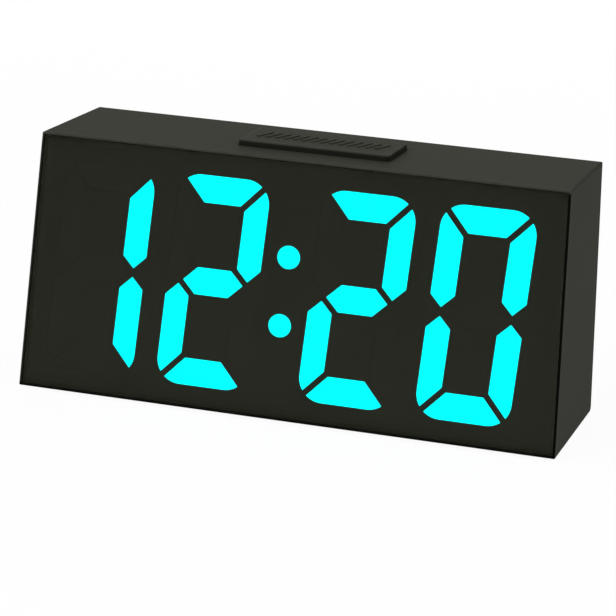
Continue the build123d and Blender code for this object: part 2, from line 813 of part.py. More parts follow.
def door_outline(grow=0):
    outline = RectangleRounded(
        DOOR_LENGTH + 2 * grow, DOOR_HEIGHT + 2 * grow, DOOR_CORNER + grow
    )
    return Pos(BATTERY_X, BATTERY_HEIGHT) * outline


def tab_places():
    """The X of each hooked tab under the battery door."""
    reach = DOOR_LENGTH * DOOR_TAB_SHARE
    return [BATTERY_X - reach, BATTERY_X + reach]


def sound_holes():
    """A hole in the middle and rings of six and twelve round it."""
    places = [(SOUNDER_X, CONTROL_HEIGHT)]
    for ring in range(1, SOUND_RINGS + 1):
        step = PolarLocations(SOUND_HOLE_PITCH * ring, FIRST_RING_HOLES * ring)
        places += [
            (SOUNDER_X + place.position.X, CONTROL_HEIGHT + place.position.Y) for place in step
        ]
    return at(places, Circle(SOUND_HOLE_RADIUS))


def cover_lip():
    """The locating lip inside the walls, left out at the corner bosses."""
    outer = WALL + SLIP_GAP
    lip = upright_outline(outer) - upright_outline(outer + COVER_LIP_WALL)
    lip -= at(corner_places(), Circle(CORNER_CUP_RADIUS + SLIP_GAP))
    return slab(lip, COVER_INNER - COVER_LIP_DEPTH, COVER_INNER)


def battery_box():
    """The compartment's walls and floor, and the frame that backs the door's ledge."""
    walls = slab(pocket_outline(BATTERY_WALL), POCKET_FLOOR - BATTERY_WALL, COVER_INNER)
    frame = slab(door_outline(BATTERY_WALL), COVER_INNER - BATTERY_FRAME, COVER_INNER)
    return walls + frame


def tab_notches():
    """Room for the door's tabs behind the cover and in the compartment's lower wall."""
    notches = Sketch()
    low = DOOR_BOTTOM - DOOR_TAB_DROP - 2 * SLIP_GAP
    high = DOOR_BOTTOM + DOOR_LAP + SLIP_GAP
    for across in tab_places():
        size = (DOOR_TAB_WIDTH + 3 * SLIP_GAP, high - low)
        notches += Pos(across, (low + high) / 2) * Rectangle(*size)
    inside = slab(notches, COVER_FACE - DOOR_TAB_SWING, COVER_INNER)
    above = notches & door_outline(SLIP_GAP)
    return inside + slab(above, COVER_INNER - SEAT_GAP, DOOR_INNER + SEAT_GAP)


def back_cover():
    cover = slab(upright_outline(REAR_RIM + SLIP_GAP), COVER_INNER + SEAT_GAP, COVER_FACE)
    cover += slab(upright_outline(WALL + SLIP_GAP), COVER_INNER, COVER_FACE)
    cover += cover_lip()
    cups = at(corner_places(), Circle(CORNER_CUP_RADIUS))
    cup_front = COVER_INNER - CORNER_CUP_DEPTH
    cover += slab(cups & upright_outline(WALL + SLIP_GAP), cup_front, COVER_INNER)
    cover += slab(dish_outline(DISH_FLOOR), DISH_INNER, COVER_INNER)
    cover -= slab(dish_outline(), DISH_FACE, COVER_FACE + OVERRUN)
    cover += battery_box()
    cover -= slab(pocket_outline(), POCKET_FLOOR, COVER_FACE + OVERRUN)
    cover -= slab(door_outline(SLIP_GAP), DOOR_INNER - SEAT_GAP, COVER_FACE + OVERRUN)
    cover -= tab_notches() + tail_slots()
    cover += slab(at(main_post_places(), Circle(MAIN_POST_RADIUS)), MAIN_FACE, COVER_INNER)
    pilot = at(main_post_places(), Circle(SCREW_RADIUS + THREAD_GAP))
    cover -= slab(pilot, MAIN_FACE - OVERRUN, COVER_INNER)
    pockets = at(corner_places(), Circle(COVER_HEAD_POCKET))
    cover -= slab(pockets, COVER_FACE - COVER_HEAD_SINK, COVER_FACE + OVERRUN)
    holes = at(corner_places(), Circle(COVER_SCREW_RADIUS + SCREW_PLAY))
    cover -= slab(holes, cup_front - OVERRUN, COVER_FACE)
    return cover - control_holes()


def control_holes():
    """The openings for the caps, the alarm knob, the power socket and the sound."""
    row = [(across, CONTROL_HEIGHT) for across in button_places().values()]
    holes = at(row, Circle(BUTTON_RADIUS + BUTTON_GAP))
    slot_length = KNOB_NECK_LENGTH + SLIDER_TRAVEL + 2 * SLIP_GAP
    slot_x = SLIDER_X + SLIDER_TRAVEL / 2
    slot = Rectangle(slot_length, KNOB_NECK_WIDTH + 2 * SLIP_GAP)
    holes += Pos(slot_x, CONTROL_HEIGHT) * slot
    holes += Pos(INLET_X, CONTROL_HEIGHT) * Circle(INLET_NOSE_RADIUS + SLIP_GAP)
    holes += sound_holes()
    return slab(holes, DISH_INNER - OVERRUN, COVER_FACE)


def cover_screws():
    """Pan heads with a cross, sunk in the corner pockets."""
    seat = COVER_FACE - COVER_HEAD_SINK
    top = seat + COVER_HEAD_HEIGHT
    heads = slab(at(corner_places(), Circle(COVER_HEAD_RADIUS)), seat, top)
    shanks = slab(at(corner_places(), Circle(COVER_SCREW_RADIUS)), seat - COVER_SCREW_LENGTH, seat)
    cross = Rectangle(CROSS_LENGTH, CROSS_WIDTH) + Rectangle(CROSS_WIDTH, CROSS_LENGTH)
    return heads + shanks - slab(at(corner_places(), cross), top - CROSS_DEPTH, top)


def battery_door():
    """A flush door: two hooked tabs below, a thumb hollow and a springy tongue above."""
    door = slab(door_outline(), DOOR_INNER, COVER_FACE)
    top = DOOR_BOTTOM + DOOR_HEIGHT
    slots = Sketch()
    for side in (-1, 1):
        across = BATTERY_X + side * TONGUE_WIDTH / 2
        slot = Rectangle(TONGUE_SLOT, TONGUE_LENGTH, align=(Align.CENTER, Align.MAX))
        slots += Pos(across, top) * slot
    door -= slab(slots, DOOR_INNER, COVER_FACE)
    ball = THUMB_RADIUS**2 / (2 * THUMB_DEPTH) + THUMB_DEPTH / 2
    thumb_z = top - TONGUE_LENGTH - THUMB_RADIUS
    door -= Pos(BATTERY_X, COVER_FACE - THUMB_DEPTH + ball, thumb_z) * Sphere(ball)
    for across in tab_places():
        door += door_tab(across)
    return door


def door_tab(across):
    """A hooked tab: a root on the door's inner face and a tongue that reaches down."""
    face = DOOR_INNER - DOOR_TAB_OFFSET
    root_low = DOOR_BOTTOM + SLIP_GAP
    root_high = DOOR_BOTTOM + DOOR_TAB_ROOT
    points = (
        (DOOR_INNER, root_low),
        (face, root_low),
        (face, DOOR_BOTTOM - DOOR_TAB_DROP),
        (face - DOOR_TAB_THICKNESS, DOOR_BOTTOM - DOOR_TAB_DROP),
        (face - DOOR_TAB_THICKNESS, root_high),
        (DOOR_INNER, root_high),
    )
    hook = Plane.YZ.offset(across) * Polygon(*points, align=None)
    return extrude(hook, amount=DOOR_TAB_WIDTH / 2, both=True)


# Main board

def main_board():
    length = NARROW_WIDTH * MAIN_BOARD_SHARE
    outline = Pos(0, CONTROL_HEIGHT) * Rectangle(length, MAIN_BOARD_HEIGHT)
    outline -= at(main_post_places(), Circle(SCREW_RADIUS + SCREW_PLAY))
    return slab(outline, MAIN_INNER, MAIN_FACE)


def board_screws():
    heads = at(main_post_places(), Circle(SCREW_HEAD_RADIUS))
    shanks = at(main_post_places(), Circle(SCREW_RADIUS))
    under = slab(heads, MAIN_INNER - SCREW_HEAD_HEIGHT, MAIN_INNER)
    return under + slab(shanks, MAIN_INNER, MAIN_INNER + SCREW_LENGTH)


def button_switches():
    """The five switch bodies, each bored for its plunger."""
    row = [(across, CONTROL_HEIGHT) for across in button_places().values()]
    top = MAIN_FACE + SWITCH_HEIGHT
    bodies = slab(at(row, Rectangle(SWITCH_SIDE, SWITCH_SIDE)), MAIN_FACE, top)
    bores = at(row, Circle(PLUNGER_RADIUS + PLUNGER_GAP))
    return bodies - slab(bores, top - PLUNGER_SEAT - 2 * PLUNGER_TRAVEL, top)


def button_plunger(across):
    low = MAIN_FACE + SWITCH_HEIGHT - PLUNGER_SEAT
    return slab(Pos(across, CONTROL_HEIGHT) * Circle(PLUNGER_RADIUS), low, PLUNGER_TIP)


def button_cap(across):
    """A round cap with a dished top and a flange that holds it behind the cover."""
    top = DISH_FACE + BUTTON_PROUD
    face = BUTTON_FLANGE_FACE
    ball = (BUTTON_RADIUS**2 + BUTTON_DISHING**2) / (2 * BUTTON_DISHING)
    profile = Polygon(
        (0, PLUNGER_TIP),
        (BUTTON_FLANGE_RADIUS, PLUNGER_TIP),
        (BUTTON_FLANGE_RADIUS, face),
        (BUTTON_RADIUS, face),
        (BUTTON_RADIUS, top),
        (0, top),
        align=None,
    )
    cap = revolve(profile, axis=Axis.Y)
    cap -= Pos(0, top - BUTTON_DISHING + ball, 0) * Sphere(ball)
    return Pos(across, 0, CONTROL_HEIGHT) * cap


def alarm_switch():
    outline = Rectangle(SLIDE_BODY_LENGTH, SLIDE_BODY_WIDTH)
    middle = Pos(SLIDER_X + SLIDER_TRAVEL / 2, CONTROL_HEIGHT)
    top = MAIN_FACE + SLIDE_BODY_HEIGHT
    slot_length = LEVER_LENGTH + SLIDER_TRAVEL + 2 * PLUNGER_GAP
    slot = Rectangle(slot_length, LEVER_WIDTH + 2 * PLUNGER_GAP)
    body = slab(middle * outline, MAIN_FACE, top)
    return body - slab(middle * slot, top - LEVER_SINK - PLUNGER_GAP, top)


def alarm_lever():
    top = MAIN_FACE + SLIDE_BODY_HEIGHT
    lever = Pos(SLIDER_X, CONTROL_HEIGHT) * Rectangle(LEVER_LENGTH, LEVER_WIDTH)
    return slab(lever, top - LEVER_SINK, top + LEVER_HEIGHT)


def alarm_knob():
    """The knob in the dish, its neck through the slot and a socket over the switch's lever."""
    spot = Pos(SLIDER_X, CONTROL_HEIGHT)
    under = DISH_FACE + SEAT_GAP
    top = under + KNOB_HEIGHT
    low = MAIN_FACE + SLIDE_BODY_HEIGHT + PLUNGER_GAP
    knob = slab(spot * Rectangle(KNOB_LENGTH, KNOB_WIDTH), under, top)
    neck = spot * Rectangle(KNOB_NECK_LENGTH, KNOB_NECK_WIDTH)
    knob += slab(neck, low, under)
    socket = spot * Rectangle(LEVER_LENGTH + 2 * PLUNGER_GAP, LEVER_WIDTH + 2 * PLUNGER_GAP)
    knob -= slab(socket, low, low + LEVER_HEIGHT)
    step = KNOB_LENGTH / (KNOB_RIDGES + 1)
    for turn in range(KNOB_RIDGES):
        across = SLIDER_X - KNOB_LENGTH / 2 + step * (turn + 1)
        groove = Pos(across, CONTROL_HEIGHT) * Rectangle(KNOB_RIDGE_WIDTH, KNOB_WIDTH)
        knob -= slab(groove, top - KNOB_RIDGE_DEPTH, top)
    return knob


def inlet_body():
    """A square socket body with a round nose in the cover's hole."""
    shoulder = DISH_INNER - INLET_SHOULDER
    spot = Pos(INLET_X, CONTROL_HEIGHT)
    body = slab(spot * Rectangle(INLET_SIDE, INLET_SIDE), MAIN_FACE, shoulder)
    body += slab(spot * Circle(INLET_NOSE_RADIUS), shoulder, COVER_FACE)
    bore = spot * Circle(INLET_BORE_RADIUS)
    return body - slab(bore, COVER_FACE - INLET_BORE_DEPTH, COVER_FACE)


def inlet_pin():
    floor = COVER_FACE - INLET_BORE_DEPTH
    pin = Pos(INLET_X, CONTROL_HEIGHT) * Circle(INLET_PIN_RADIUS)
    return slab(pin, floor, floor + INLET_PIN_LENGTH)


def sounder():
    spot = Pos(SOUNDER_X, CONTROL_HEIGHT)
    top = MAIN_FACE + SOUNDER_HEIGHT
    can = slab(spot * Circle(SOUNDER_RADIUS), MAIN_FACE, top)
    return can - slab(spot * Circle(SOUNDER_PORT_RADIUS), top - SOUNDER_PORT_RADIUS, top)


def controller_chip():
    """The controller on the board's inner side, with a row of bent legs on each long edge."""
    middle = NARROW_WIDTH * CHIP_SHARE
    spot = Pos(middle, CONTROL_HEIGHT)
    body = slab(
        spot * Rectangle(CHIP_LENGTH, CHIP_WIDTH),
        MAIN_INNER - CHIP_HEIGHT,
        MAIN_INNER - CHIP_LEG_THICKNESS,
    )
    across = CHIP_WIDTH + 2 * CHIP_LEG_REACH
    legs = Sketch()
    for turn in range(CHIP_LEG_COUNT):
        shift = (turn - (CHIP_LEG_COUNT - 1) / 2) * CHIP_LEG_PITCH
        legs += Pos(middle + shift, CONTROL_HEIGHT) * Rectangle(CHIP_LEG_WIDTH, across)
    return body + slab(legs, MAIN_INNER - CHIP_LEG_THICKNESS, MAIN_INNER)


def crystal():
    """A small metal can that lies on the board."""
    lie = Plane.XY.offset(CONTROL_HEIGHT - CRYSTAL_LENGTH / 2)
    across = NARROW_WIDTH * CRYSTAL_SHARE
    can = lie * (Pos(across, MAIN_INNER - CRYSTAL_RADIUS) * Circle(CRYSTAL_RADIUS))
    return extrude(can, amount=CRYSTAL_LENGTH)


def driver_transistors():
    shares = [TRANSISTOR_SHARE + TRANSISTOR_PITCH_SHARE * turn for turn in range(TRANSISTOR_COUNT)]
    places = [(NARROW_WIDTH * share, CONTROL_HEIGHT - TRANSISTOR_DROP) for share in shares]
    outline = Rectangle(TRANSISTOR_LENGTH, TRANSISTOR_WIDTH)
    return slab(at(places, outline), MAIN_INNER - TRANSISTOR_HEIGHT, MAIN_INNER)


def filter_capacitors():
    places = [
        (NARROW_WIDTH * CAPACITOR_SHARE + CAPACITOR_PITCH * turn, CONTROL_HEIGHT - CAPACITOR_DROP)
        for turn in range(2)
    ]
    return slab(at(places, Circle(CAPACITOR_RADIUS)), MAIN_INNER - CAPACITOR_LENGTH, MAIN_INNER)


# Battery compartment

def cell_heights():
    """The lower and the upper cell's axis."""
    return (BATTERY_HEIGHT - POCKET_HEIGHT / 4, BATTERY_HEIGHT + POCKET_HEIGHT / 4)


def cell_axis_y():
    return (POCKET_FLOOR + DOOR_INNER) / 2


def battery_plates():
    """A bridge plate at one end, and at the other a plate for each cell, with solder tails."""
    end = POCKET_LENGTH / 2 - SEAT_GAP
    depth = DOOR_INNER - POCKET_FLOOR - 2 * PLATE_MARGIN
    tall = POCKET_HEIGHT - 2 * PLATE_MARGIN
    lower, upper = cell_heights()
    middle_y = cell_axis_y()
    bridge = Box(PLATE_THICKNESS, depth, tall)
    single = Box(PLATE_THICKNESS, depth, tall / 2 - PLATE_MARGIN)
    left = BATTERY_X - end + PLATE_THICKNESS / 2
    right = BATTERY_X + end - PLATE_THICKNESS / 2
    plates = Pos(left, middle_y, BATTERY_HEIGHT) * bridge
    plates += Pos(right, middle_y, lower) * single
    plates += Pos(right, middle_y, upper) * single
    bump = Cone(CONTACT_BUMP_RADIUS, CONTACT_BUMP_RADIUS / 2, CONTACT_BUMP_HEIGHT)
    reach = PLATE_THICKNESS / 2 + CONTACT_BUMP_HEIGHT / 2
    plates += Pos(left + reach, middle_y, lower) * Rot(0, QUARTER_TURN, 0) * bump
    plates += Pos(right - reach, middle_y, upper) * Rot(0, -QUARTER_TURN, 0) * bump
    tails = [(right, lower), (right, upper)]
    strip = Rectangle(PLATE_THICKNESS, TAIL_WIDTH)
    return plates + slab(at(tails, strip), tail_end(), POCKET_FLOOR + PLATE_MARGIN)


def tail_end():
    """How far forward the solder tails reach through the compartment's floor."""
    return POCKET_FLOOR - BATTERY_WALL - TAIL_LENGTH


def tail_slots():
    across = BATTERY_X + POCKET_LENGTH / 2 - SEAT_GAP - PLATE_THICKNESS / 2
    slot = Rectangle(PLATE_THICKNESS + 2 * TAIL_GAP, TAIL_WIDTH + 2 * TAIL_GAP)
    slots = at([(across, height) for height in cell_heights()], slot)
    return slab(slots & pocket_outline(), tail_end(), POCKET_FLOOR)


def battery_leads():
    """A lead from each solder tail: sideways, up, and back into the main board."""
    start = BATTERY_X + POCKET_LENGTH / 2 - SEAT_GAP - PLATE_THICKNESS
    along = tail_end() + LEAD_RADIUS + SEAT_GAP
    top = CONTROL_HEIGHT - MAIN_BOARD_HEIGHT / 2 + BATTERY_LEAD_RISE
    pair = []
    for turn, height in enumerate(reversed(cell_heights())):
        across = start - BATTERY_LEAD_JOG * (turn + 1)
        points = (
            (start, along, height),
            (across, along, height),
            (across, along, top),
            (across, MAIN_INNER, top),
        )
        pair.append(lead(points, LEAD_BEND))
    return Part() + pair


def battery_springs():
    """A cell spring at the upper left and the lower right."""
    end = POCKET_LENGTH / 2 - SEAT_GAP - PLATE_THICKNESS
    lower, upper = cell_heights()
    turn_height = CELL_SPRING_LENGTH - 2 * CELL_SPRING_WIRE
    coil = coil_spring(CELL_SPRING_RADIUS, CELL_SPRING_WIRE, turn_height, CELL_SPRING_TURNS)
    lift = CELL_SPRING_WIRE + SEAT_GAP
    left = Pos(BATTERY_X - end + lift, cell_axis_y(), upper) * Rot(0, QUARTER_TURN, 0) * coil
    right = Pos(BATTERY_X + end - lift, cell_axis_y(), lower) * Rot(0, -QUARTER_TURN, 0) * coil
    return left + right


def coil_spring(radius, wire, height, turns):
    """A coil of six-sided wire that starts at the origin and rises along Z."""
    path = Helix(pitch=height / turns, height=height, radius=radius)
    section = Plane(origin=path @ 0, z_dir=path % 0) * RegularPolygon(wire, WIRE_SIDES)
    return sweep(section, path=path, is_frenet=True)


def lead(points, bend):
    """A round lead along straight runs joined by arcs."""
    path = FilletPolyline(*points, radius=bend)
    section = Plane(origin=path @ 0, z_dir=path % 0) * Circle(LEAD_RADIUS)
    return sweep(section, path=path)


# Snooze bar

def grip_ribs():
    """A row of slanted ribs along the bar, where a thumb presses."""
    rib = Rot(0, 0, -GRIP_SLANT) * Rectangle(GRIP_WIDTH, GRIP_LENGTH)
    ribs = Sketch()
    for turn in range(GRIP_COUNT):
        across = BAR_X + (turn - (GRIP_COUNT - 1) / 2) * BAR_LENGTH * GRIP_PITCH_SHARE
        ribs += Pos(across, BAR_Y) * rib
    return deck(ribs, BAR_TOP, BAR_TOP + GRIP_HEIGHT)


def snooze_bar():
    """A hollow cap with a flange on three sides, a pressing post and two spring pegs."""
    bar = deck(bar_outline(), FLANGE_BOTTOM, BAR_TOP)
    bar = fillet(bar.faces().sort_by(Axis.Z)[-1].edges(), BAR_EDGE)
    flange = Rectangle(
        BAR_LENGTH + 2 * BAR_FLANGE_REACH,
        BAR_WIDTH + BAR_FLANGE_REACH,
    )
    bar += deck(Pos(BAR_X, BAR_Y + BAR_FLANGE_REACH / 2) * flange, FLANGE_BOTTOM, FLANGE_TOP)
    hollow = RectangleRounded(BAR_LENGTH - 2 * BAR_SKIRT, BAR_WIDTH - 2 * BAR_SKIRT, BAR_EDGE)
    bar -= deck(Pos(BAR_X, BAR_Y) * hollow, FLANGE_BOTTOM, BAR_UNDERSIDE)
    post_end = SNOOZE_PLUNGER_TOP + SNOOZE_REST_GAP + SEAT_GAP
    post = Pos(BAR_X, SNOOZE_BOARD_Y) * Circle(PRESS_POST_RADIUS)
    bar += deck(post, post_end, BAR_UNDERSIDE)
    peg_length = (BAR_UNDERSIDE - SNOOZE_BOARD_TOP) * SPRING_PEG_SHARE
    pegs = at(spring_places(), Circle(SPRING_PEG_RADIUS))
    bar += deck(pegs, BAR_UNDERSIDE - peg_length, BAR_UNDERSIDE)
    return bar + grip_ribs()


def spring_places():
    """The two springs under the snooze bar, in X and Y."""
    reach = NARROW_WIDTH * SPRING_SHARE
    return [(BAR_X - reach, SNOOZE_BOARD_Y), (BAR_X + reach, SNOOZE_BOARD_Y)]


def snooze_springs():
    room = BAR_UNDERSIDE - SNOOZE_BOARD_TOP - 2 * SEAT_GAP - 2 * SPRING_WIRE
    coil = coil_spring(SPRING_RADIUS, SPRING_WIRE, room, SPRING_TURNS)
    base = SNOOZE_BOARD_TOP + SEAT_GAP + SPRING_WIRE
    springs = [Pos(across, along, base) * coil for across, along in spring_places()]
    return Part() + springs


def snooze_board():
    length = NARROW_WIDTH * SNOOZE_BOARD_SHARE
    outline = Pos(BAR_X, SNOOZE_BOARD_Y) * Rectangle(length, SNOOZE_BOARD_WIDTH)
    outline -= at(snooze_post_places(), Circle(SCREW_RADIUS + SCREW_PLAY))
    return deck(outline, SNOOZE_BOARD_BOTTOM, SNOOZE_BOARD_TOP)


def snooze_switch():
    spot = Pos(BAR_X, SNOOZE_BOARD_Y)
    top = SNOOZE_BOARD_TOP + SWITCH_HEIGHT
    body = deck(spot * Rectangle(SWITCH_SIDE, SWITCH_SIDE), SNOOZE_BOARD_TOP, top)
    bore = spot * Circle(PLUNGER_RADIUS + PLUNGER_GAP)
    return body - deck(bore, top - PLUNGER_SEAT - 2 * PLUNGER_TRAVEL, top)


def snooze_plunger():
    low = SNOOZE_BOARD_TOP + SWITCH_HEIGHT - PLUNGER_SEAT
    return deck(Pos(BAR_X, SNOOZE_BOARD_Y) * Circle(PLUNGER_RADIUS), low, SNOOZE_PLUNGER_TOP)


def snooze_screws():
    heads = at(snooze_post_places(), Circle(SCREW_HEAD_RADIUS))
    shanks = at(snooze_post_places(), Circle(SCREW_RADIUS))
    under = deck(heads, SNOOZE_BOARD_BOTTOM - SCREW_HEAD_HEIGHT, SNOOZE_BOARD_BOTTOM)
    return under + deck(shanks, SNOOZE_BOARD_BOTTOM, SNOOZE_BOARD_BOTTOM + SCREW_LENGTH)


def snooze_leads():
    """Two leads from under the snooze board to the main board's inner side."""
    low = SNOOZE_BOARD_BOTTOM - SNOOZE_LEAD_DROP
    pair = []
    for turn in range(2):
        across = BAR_X + NARROW_WIDTH * SNOOZE_LEAD_SHARE + SNOOZE_LEAD_PITCH * turn
        points = (
            (across, SNOOZE_BOARD_Y, SNOOZE_BOARD_BOTTOM),
            (across, SNOOZE_BOARD_Y, low),
            (across, MAIN_INNER, low),
        )
        pair.append(lead(points, LEAD_BEND))
    return Part() + pair


NODES = {
    "main_shell": main_shell,
    "front_lens": front_lens,
    "feet": feet,
    "display_reflector": display_reflector,
    "colon_lit": colon_lit,
    "led_chips": led_chips,
    "display_board": display_board,
    "display_screws": display_screws,
    "display_header": display_header,
    "ribbon_header": ribbon_header,
    "display_ribbon": display_ribbon,
    "back_cover": back_cover,
    "cover_screws": cover_screws,
    "battery_door": battery_door,
    "battery_plates": battery_plates,
    "battery_springs": battery_springs,
    "battery_leads": battery_leads,
    "main_board": main_board,
    "board_screws": board_screws,
    "button_switches": button_switches,
    "alarm_switch": alarm_switch,
    "alarm_lever": alarm_lever,
    "alarm_knob": alarm_knob,
    "inlet_body": inlet_body,
    "inlet_pin": inlet_pin,
    "sounder": sounder,
    "controller_chip": controller_chip,
    "crystal": crystal,
    "driver_transistors": driver_transistors,
    "filter_capacitors": filter_capacitors,
    "snooze_bar": snooze_bar,
    "snooze_springs": snooze_springs,
    "snooze_board": snooze_board,
    "snooze_switch": snooze_switch,
    "snooze_plunger": snooze_plunger,
    "snooze_screws": snooze_screws,
    "snooze_leads": snooze_leads,
}


def write(name, shape):
    export_step(shape, f"parts/{name}.step")


def main():
    os.makedirs("parts", exist_ok=True)
    for name, make in NODES.items():
        write(name, make())
    for name, lit in SHOWN_SEGMENTS.items():
        dark = [letter for letter in ALL_SEGMENTS if letter not in lit]
        write(f"{name}_lit", diffusers(name, lit))
        write(f"{name}_dark", diffusers(name, dark))
    for name, across in button_places().items():
        write(f"{name}_button", button_cap(across))
        write(f"{name}_plunger", button_plunger(across))


main()
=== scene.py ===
"""Digital LED desk clock: finishes, fine pieces and the stage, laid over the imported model."""

from math import pi, radians, tau

import bpy
import numpy as np
from bpy.props import FloatProperty, FloatVectorProperty, IntProperty, PointerProperty
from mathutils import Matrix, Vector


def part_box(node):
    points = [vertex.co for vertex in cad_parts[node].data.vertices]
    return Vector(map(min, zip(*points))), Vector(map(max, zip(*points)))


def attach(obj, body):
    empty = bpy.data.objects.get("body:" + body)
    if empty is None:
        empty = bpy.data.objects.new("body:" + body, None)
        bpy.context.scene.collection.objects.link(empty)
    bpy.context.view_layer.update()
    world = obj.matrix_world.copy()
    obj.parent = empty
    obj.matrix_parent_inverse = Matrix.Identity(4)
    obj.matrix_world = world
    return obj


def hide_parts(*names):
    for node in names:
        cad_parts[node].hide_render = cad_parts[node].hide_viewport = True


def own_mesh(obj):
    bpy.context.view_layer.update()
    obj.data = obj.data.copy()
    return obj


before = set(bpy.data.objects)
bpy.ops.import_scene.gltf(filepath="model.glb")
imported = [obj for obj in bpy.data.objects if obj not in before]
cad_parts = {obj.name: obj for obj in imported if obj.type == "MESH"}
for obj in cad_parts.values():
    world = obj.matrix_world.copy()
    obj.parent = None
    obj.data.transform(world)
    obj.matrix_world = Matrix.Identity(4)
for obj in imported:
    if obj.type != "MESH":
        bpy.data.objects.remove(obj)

bl_info = {
    "name": "Desk Clock Finisher",
    "version": (1, 0, 0),
    "blender": (4, 5, 0),
    "location": "3D Viewport > Sidebar > Clock",
    "description": "Finishes a slant-fronted LED desk clock and sets its stage",
    "category": "Object",
}

CORNER_SIGNS = ((-1, -1), (1, -1), (1, 1), (-1, 1))
SHELL_LOW, SHELL_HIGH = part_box("main_shell")
DOOR_LOW, DOOR_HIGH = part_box("battery_door")

BUTTONS = ("brightness", "minute", "hour", "alarm_set", "time_set")
DIGITS = ("hour_tens", "hour_units", "minute_tens", "minute_units")

# Lengths of the CAD part that its boxes don't give
FLANGE_REACH = 0.0018        # the snooze bar's flange beyond its sides and its back
GRIP_HEIGHT = 0.00025        # the grip ribs above the snooze bar's top
TAIL_REACH = 0.0046          # from the contacts' solder tails back to the compartment's floor
CELL_SPRING_LENGTH = 0.0029

# Where painted shade gives way to the plastic, as the distances at which the change starts and
# ends
RIM_DEPTH = (0.00024, 0.00018)      # behind the slanted front
RIM_HEAD = (0.0012, 0.0008)         # below the roof
RIM_FOOT = (0.0008, 0.0012)         # above the base
RIM_MIDDLE = (0.001, -0.001)        # to the right of the middle
INSIDE_DEPTH = (0.00042, 0.00048)   # under every outer face
BAR_SIDE = (0.0003, 0.0006)         # below the snooze bar's top

# How a coil is wound
RINGS_PER_TURN = 22
RING_SIDES = 10
FLAT_SHARE = 0.125                  # the share of its turns that lies flat at each end
EASE_SHARE = 0.25                   # how much of its rise eases in and out

# Each lamp's place and the length of its side
LAMPS = {
    "key": ((-0.45, -0.75, 0.95), 0.9),
    "fill": ((0.95, -0.25, 0.55), 0.8),
    "back": ((-0.25, 1.05, 0.25), 0.9),
}


# Settings

class HousingSettings(bpy.types.PropertyGroup):
    """The moulded housing's form, for its edges' wear, painted highlight and painted shade, and
    its plastic.
    """

    colour: FloatVectorProperty(
        name="Colour", description="The moulded plastic's colour", subtype="COLOR",
        default=(0.029, 0.0305, 0.0222), min=0, max=1,
    )
    # The rubbed edges' pale colour, also used as a painted highlight on the shell's front edges
    worn_and_highlit: FloatVectorProperty(
        name="Worn colour", description="The plastic where its edges are rubbed", subtype="COLOR",
        default=(0.044, 0.046, 0.036), min=0, max=1,
    )
    # Painted shade: the black painted on the front rim, the shell's inside and the snooze bar's
    # sides
    deep_shade_colour: FloatVectorProperty(
        name="Recess colour", subtype="COLOR", default=(0.0022, 0.0022, 0.0014), min=0, max=1,
        description="The black of the front rim, the shell's inside and the snooze bar's sides",
    )
    grain: FloatProperty(
        name="Grain size", description="Width of one pit of the moulded grain",
        default=0.00045, min=0.0001, unit="LENGTH", subtype="DISTANCE",
    )
    gloss: FloatProperty(
        name="Gloss", description="Strength of the plastic's reflections",
        default=0.012, min=0, max=1, subtype="FACTOR",
    )
    grain_depth: FloatProperty(
        name="Grain depth", description="Depth of the moulded grain",
        default=0.00004, min=0, unit="LENGTH", subtype="DISTANCE",
    )
    # Also how far the painted highlight and the painted shade reach from an edge
    edge_reach: FloatProperty(
        name="Edge reach", description="How far the rubbing reaches from an edge",
        default=0.00055, min=0.0001, unit="LENGTH", subtype="DISTANCE",
    )
    top_width: FloatProperty(
        name="Top width", description="The housing's width at its roof",
        default=0.156, min=0.01, unit="LENGTH", subtype="DISTANCE",
    )
    top_depth: FloatProperty(
        name="Top depth", description="The housing's depth at its roof",
        default=0.0455, min=0.01, unit="LENGTH", subtype="DISTANCE",
    )


class LensSettings(bpy.types.PropertyGroup):
    """The smoked lens over the front."""

    colour: FloatVectorProperty(
        name="Colour", description="The smoked acrylic's colour", subtype="COLOR",
        default=(0.003, 0.0033, 0.002), min=0, max=1,
    )
    cover: FloatProperty(
        name="Cover", description="How much of what lies behind the lens it hides",
        default=0.2, min=0, max=1, subtype="FACTOR",
    )
    sheen: FloatProperty(
        name="Sheen", description="Strength of the lens's reflections",
        default=0.04, min=0, max=1, subtype="FACTOR",
    )


class DisplaySettings(bpy.types.PropertyGroup):
    """The lit and the dark parts of the display, and the black border printed round it."""

    border: FloatProperty(
        name="Border", description="Width of the black border printed on the lens's back",
        default=0.0038, min=0.001, unit="LENGTH", subtype="DISTANCE",
    )
    inset: FloatProperty(
        name="Lens inset", description="From the housing's outline to the lens's edge",
        default=0.0009, min=0, unit="LENGTH", subtype="DISTANCE",
    )
    # fade and lift set the painted light that pales the border's print near the shell's rim
    fade: FloatProperty(
        name="Fade", description="How far the border's paler edge reaches inwards",
        default=0.0011, min=0.0001, unit="LENGTH", subtype="DISTANCE",
    )
    lift: FloatProperty(
        name="Lift", description="How much paler the border's print is at its edge",
        default=2.3, min=1,
    )
    film: FloatProperty(
        name="Film", description="Thickness of the print", default=0.00002, min=0.000005,
        unit="LENGTH", subtype="DISTANCE",
    )
    thickness: FloatProperty(
        name="Lens thickness", description="How far the print reaches forwards round the lens",
        default=0.002, min=0.0005, unit="LENGTH", subtype="DISTANCE",
    )
    bevel: FloatProperty(
        name="Lens bevel", description="The bevel on the lens's front edges",
        default=0.0003, min=0, unit="LENGTH", subtype="DISTANCE",
    )
    lit: FloatVectorProperty(
        name="Lit colour", description="Colour of the lit segments", subtype="COLOR",
        default=(0.0, 1.0, 1.0), min=0, max=1,
    )
    strength: FloatProperty(
        name="Strength", description="Brightness of the lit segments", default=1.9, min=0,
    )
    mask: FloatVectorProperty(
        name="Mask colour", description="The black face round the segments", subtype="COLOR",
        default=(0.0368, 0.0385, 0.0262), min=0, max=1,
    )
    dark: FloatVectorProperty(
        name="Dark colour", description="A segment that isn't lit", subtype="COLOR",
        default=(0.0373, 0.0390, 0.0267), min=0, max=1,
    )


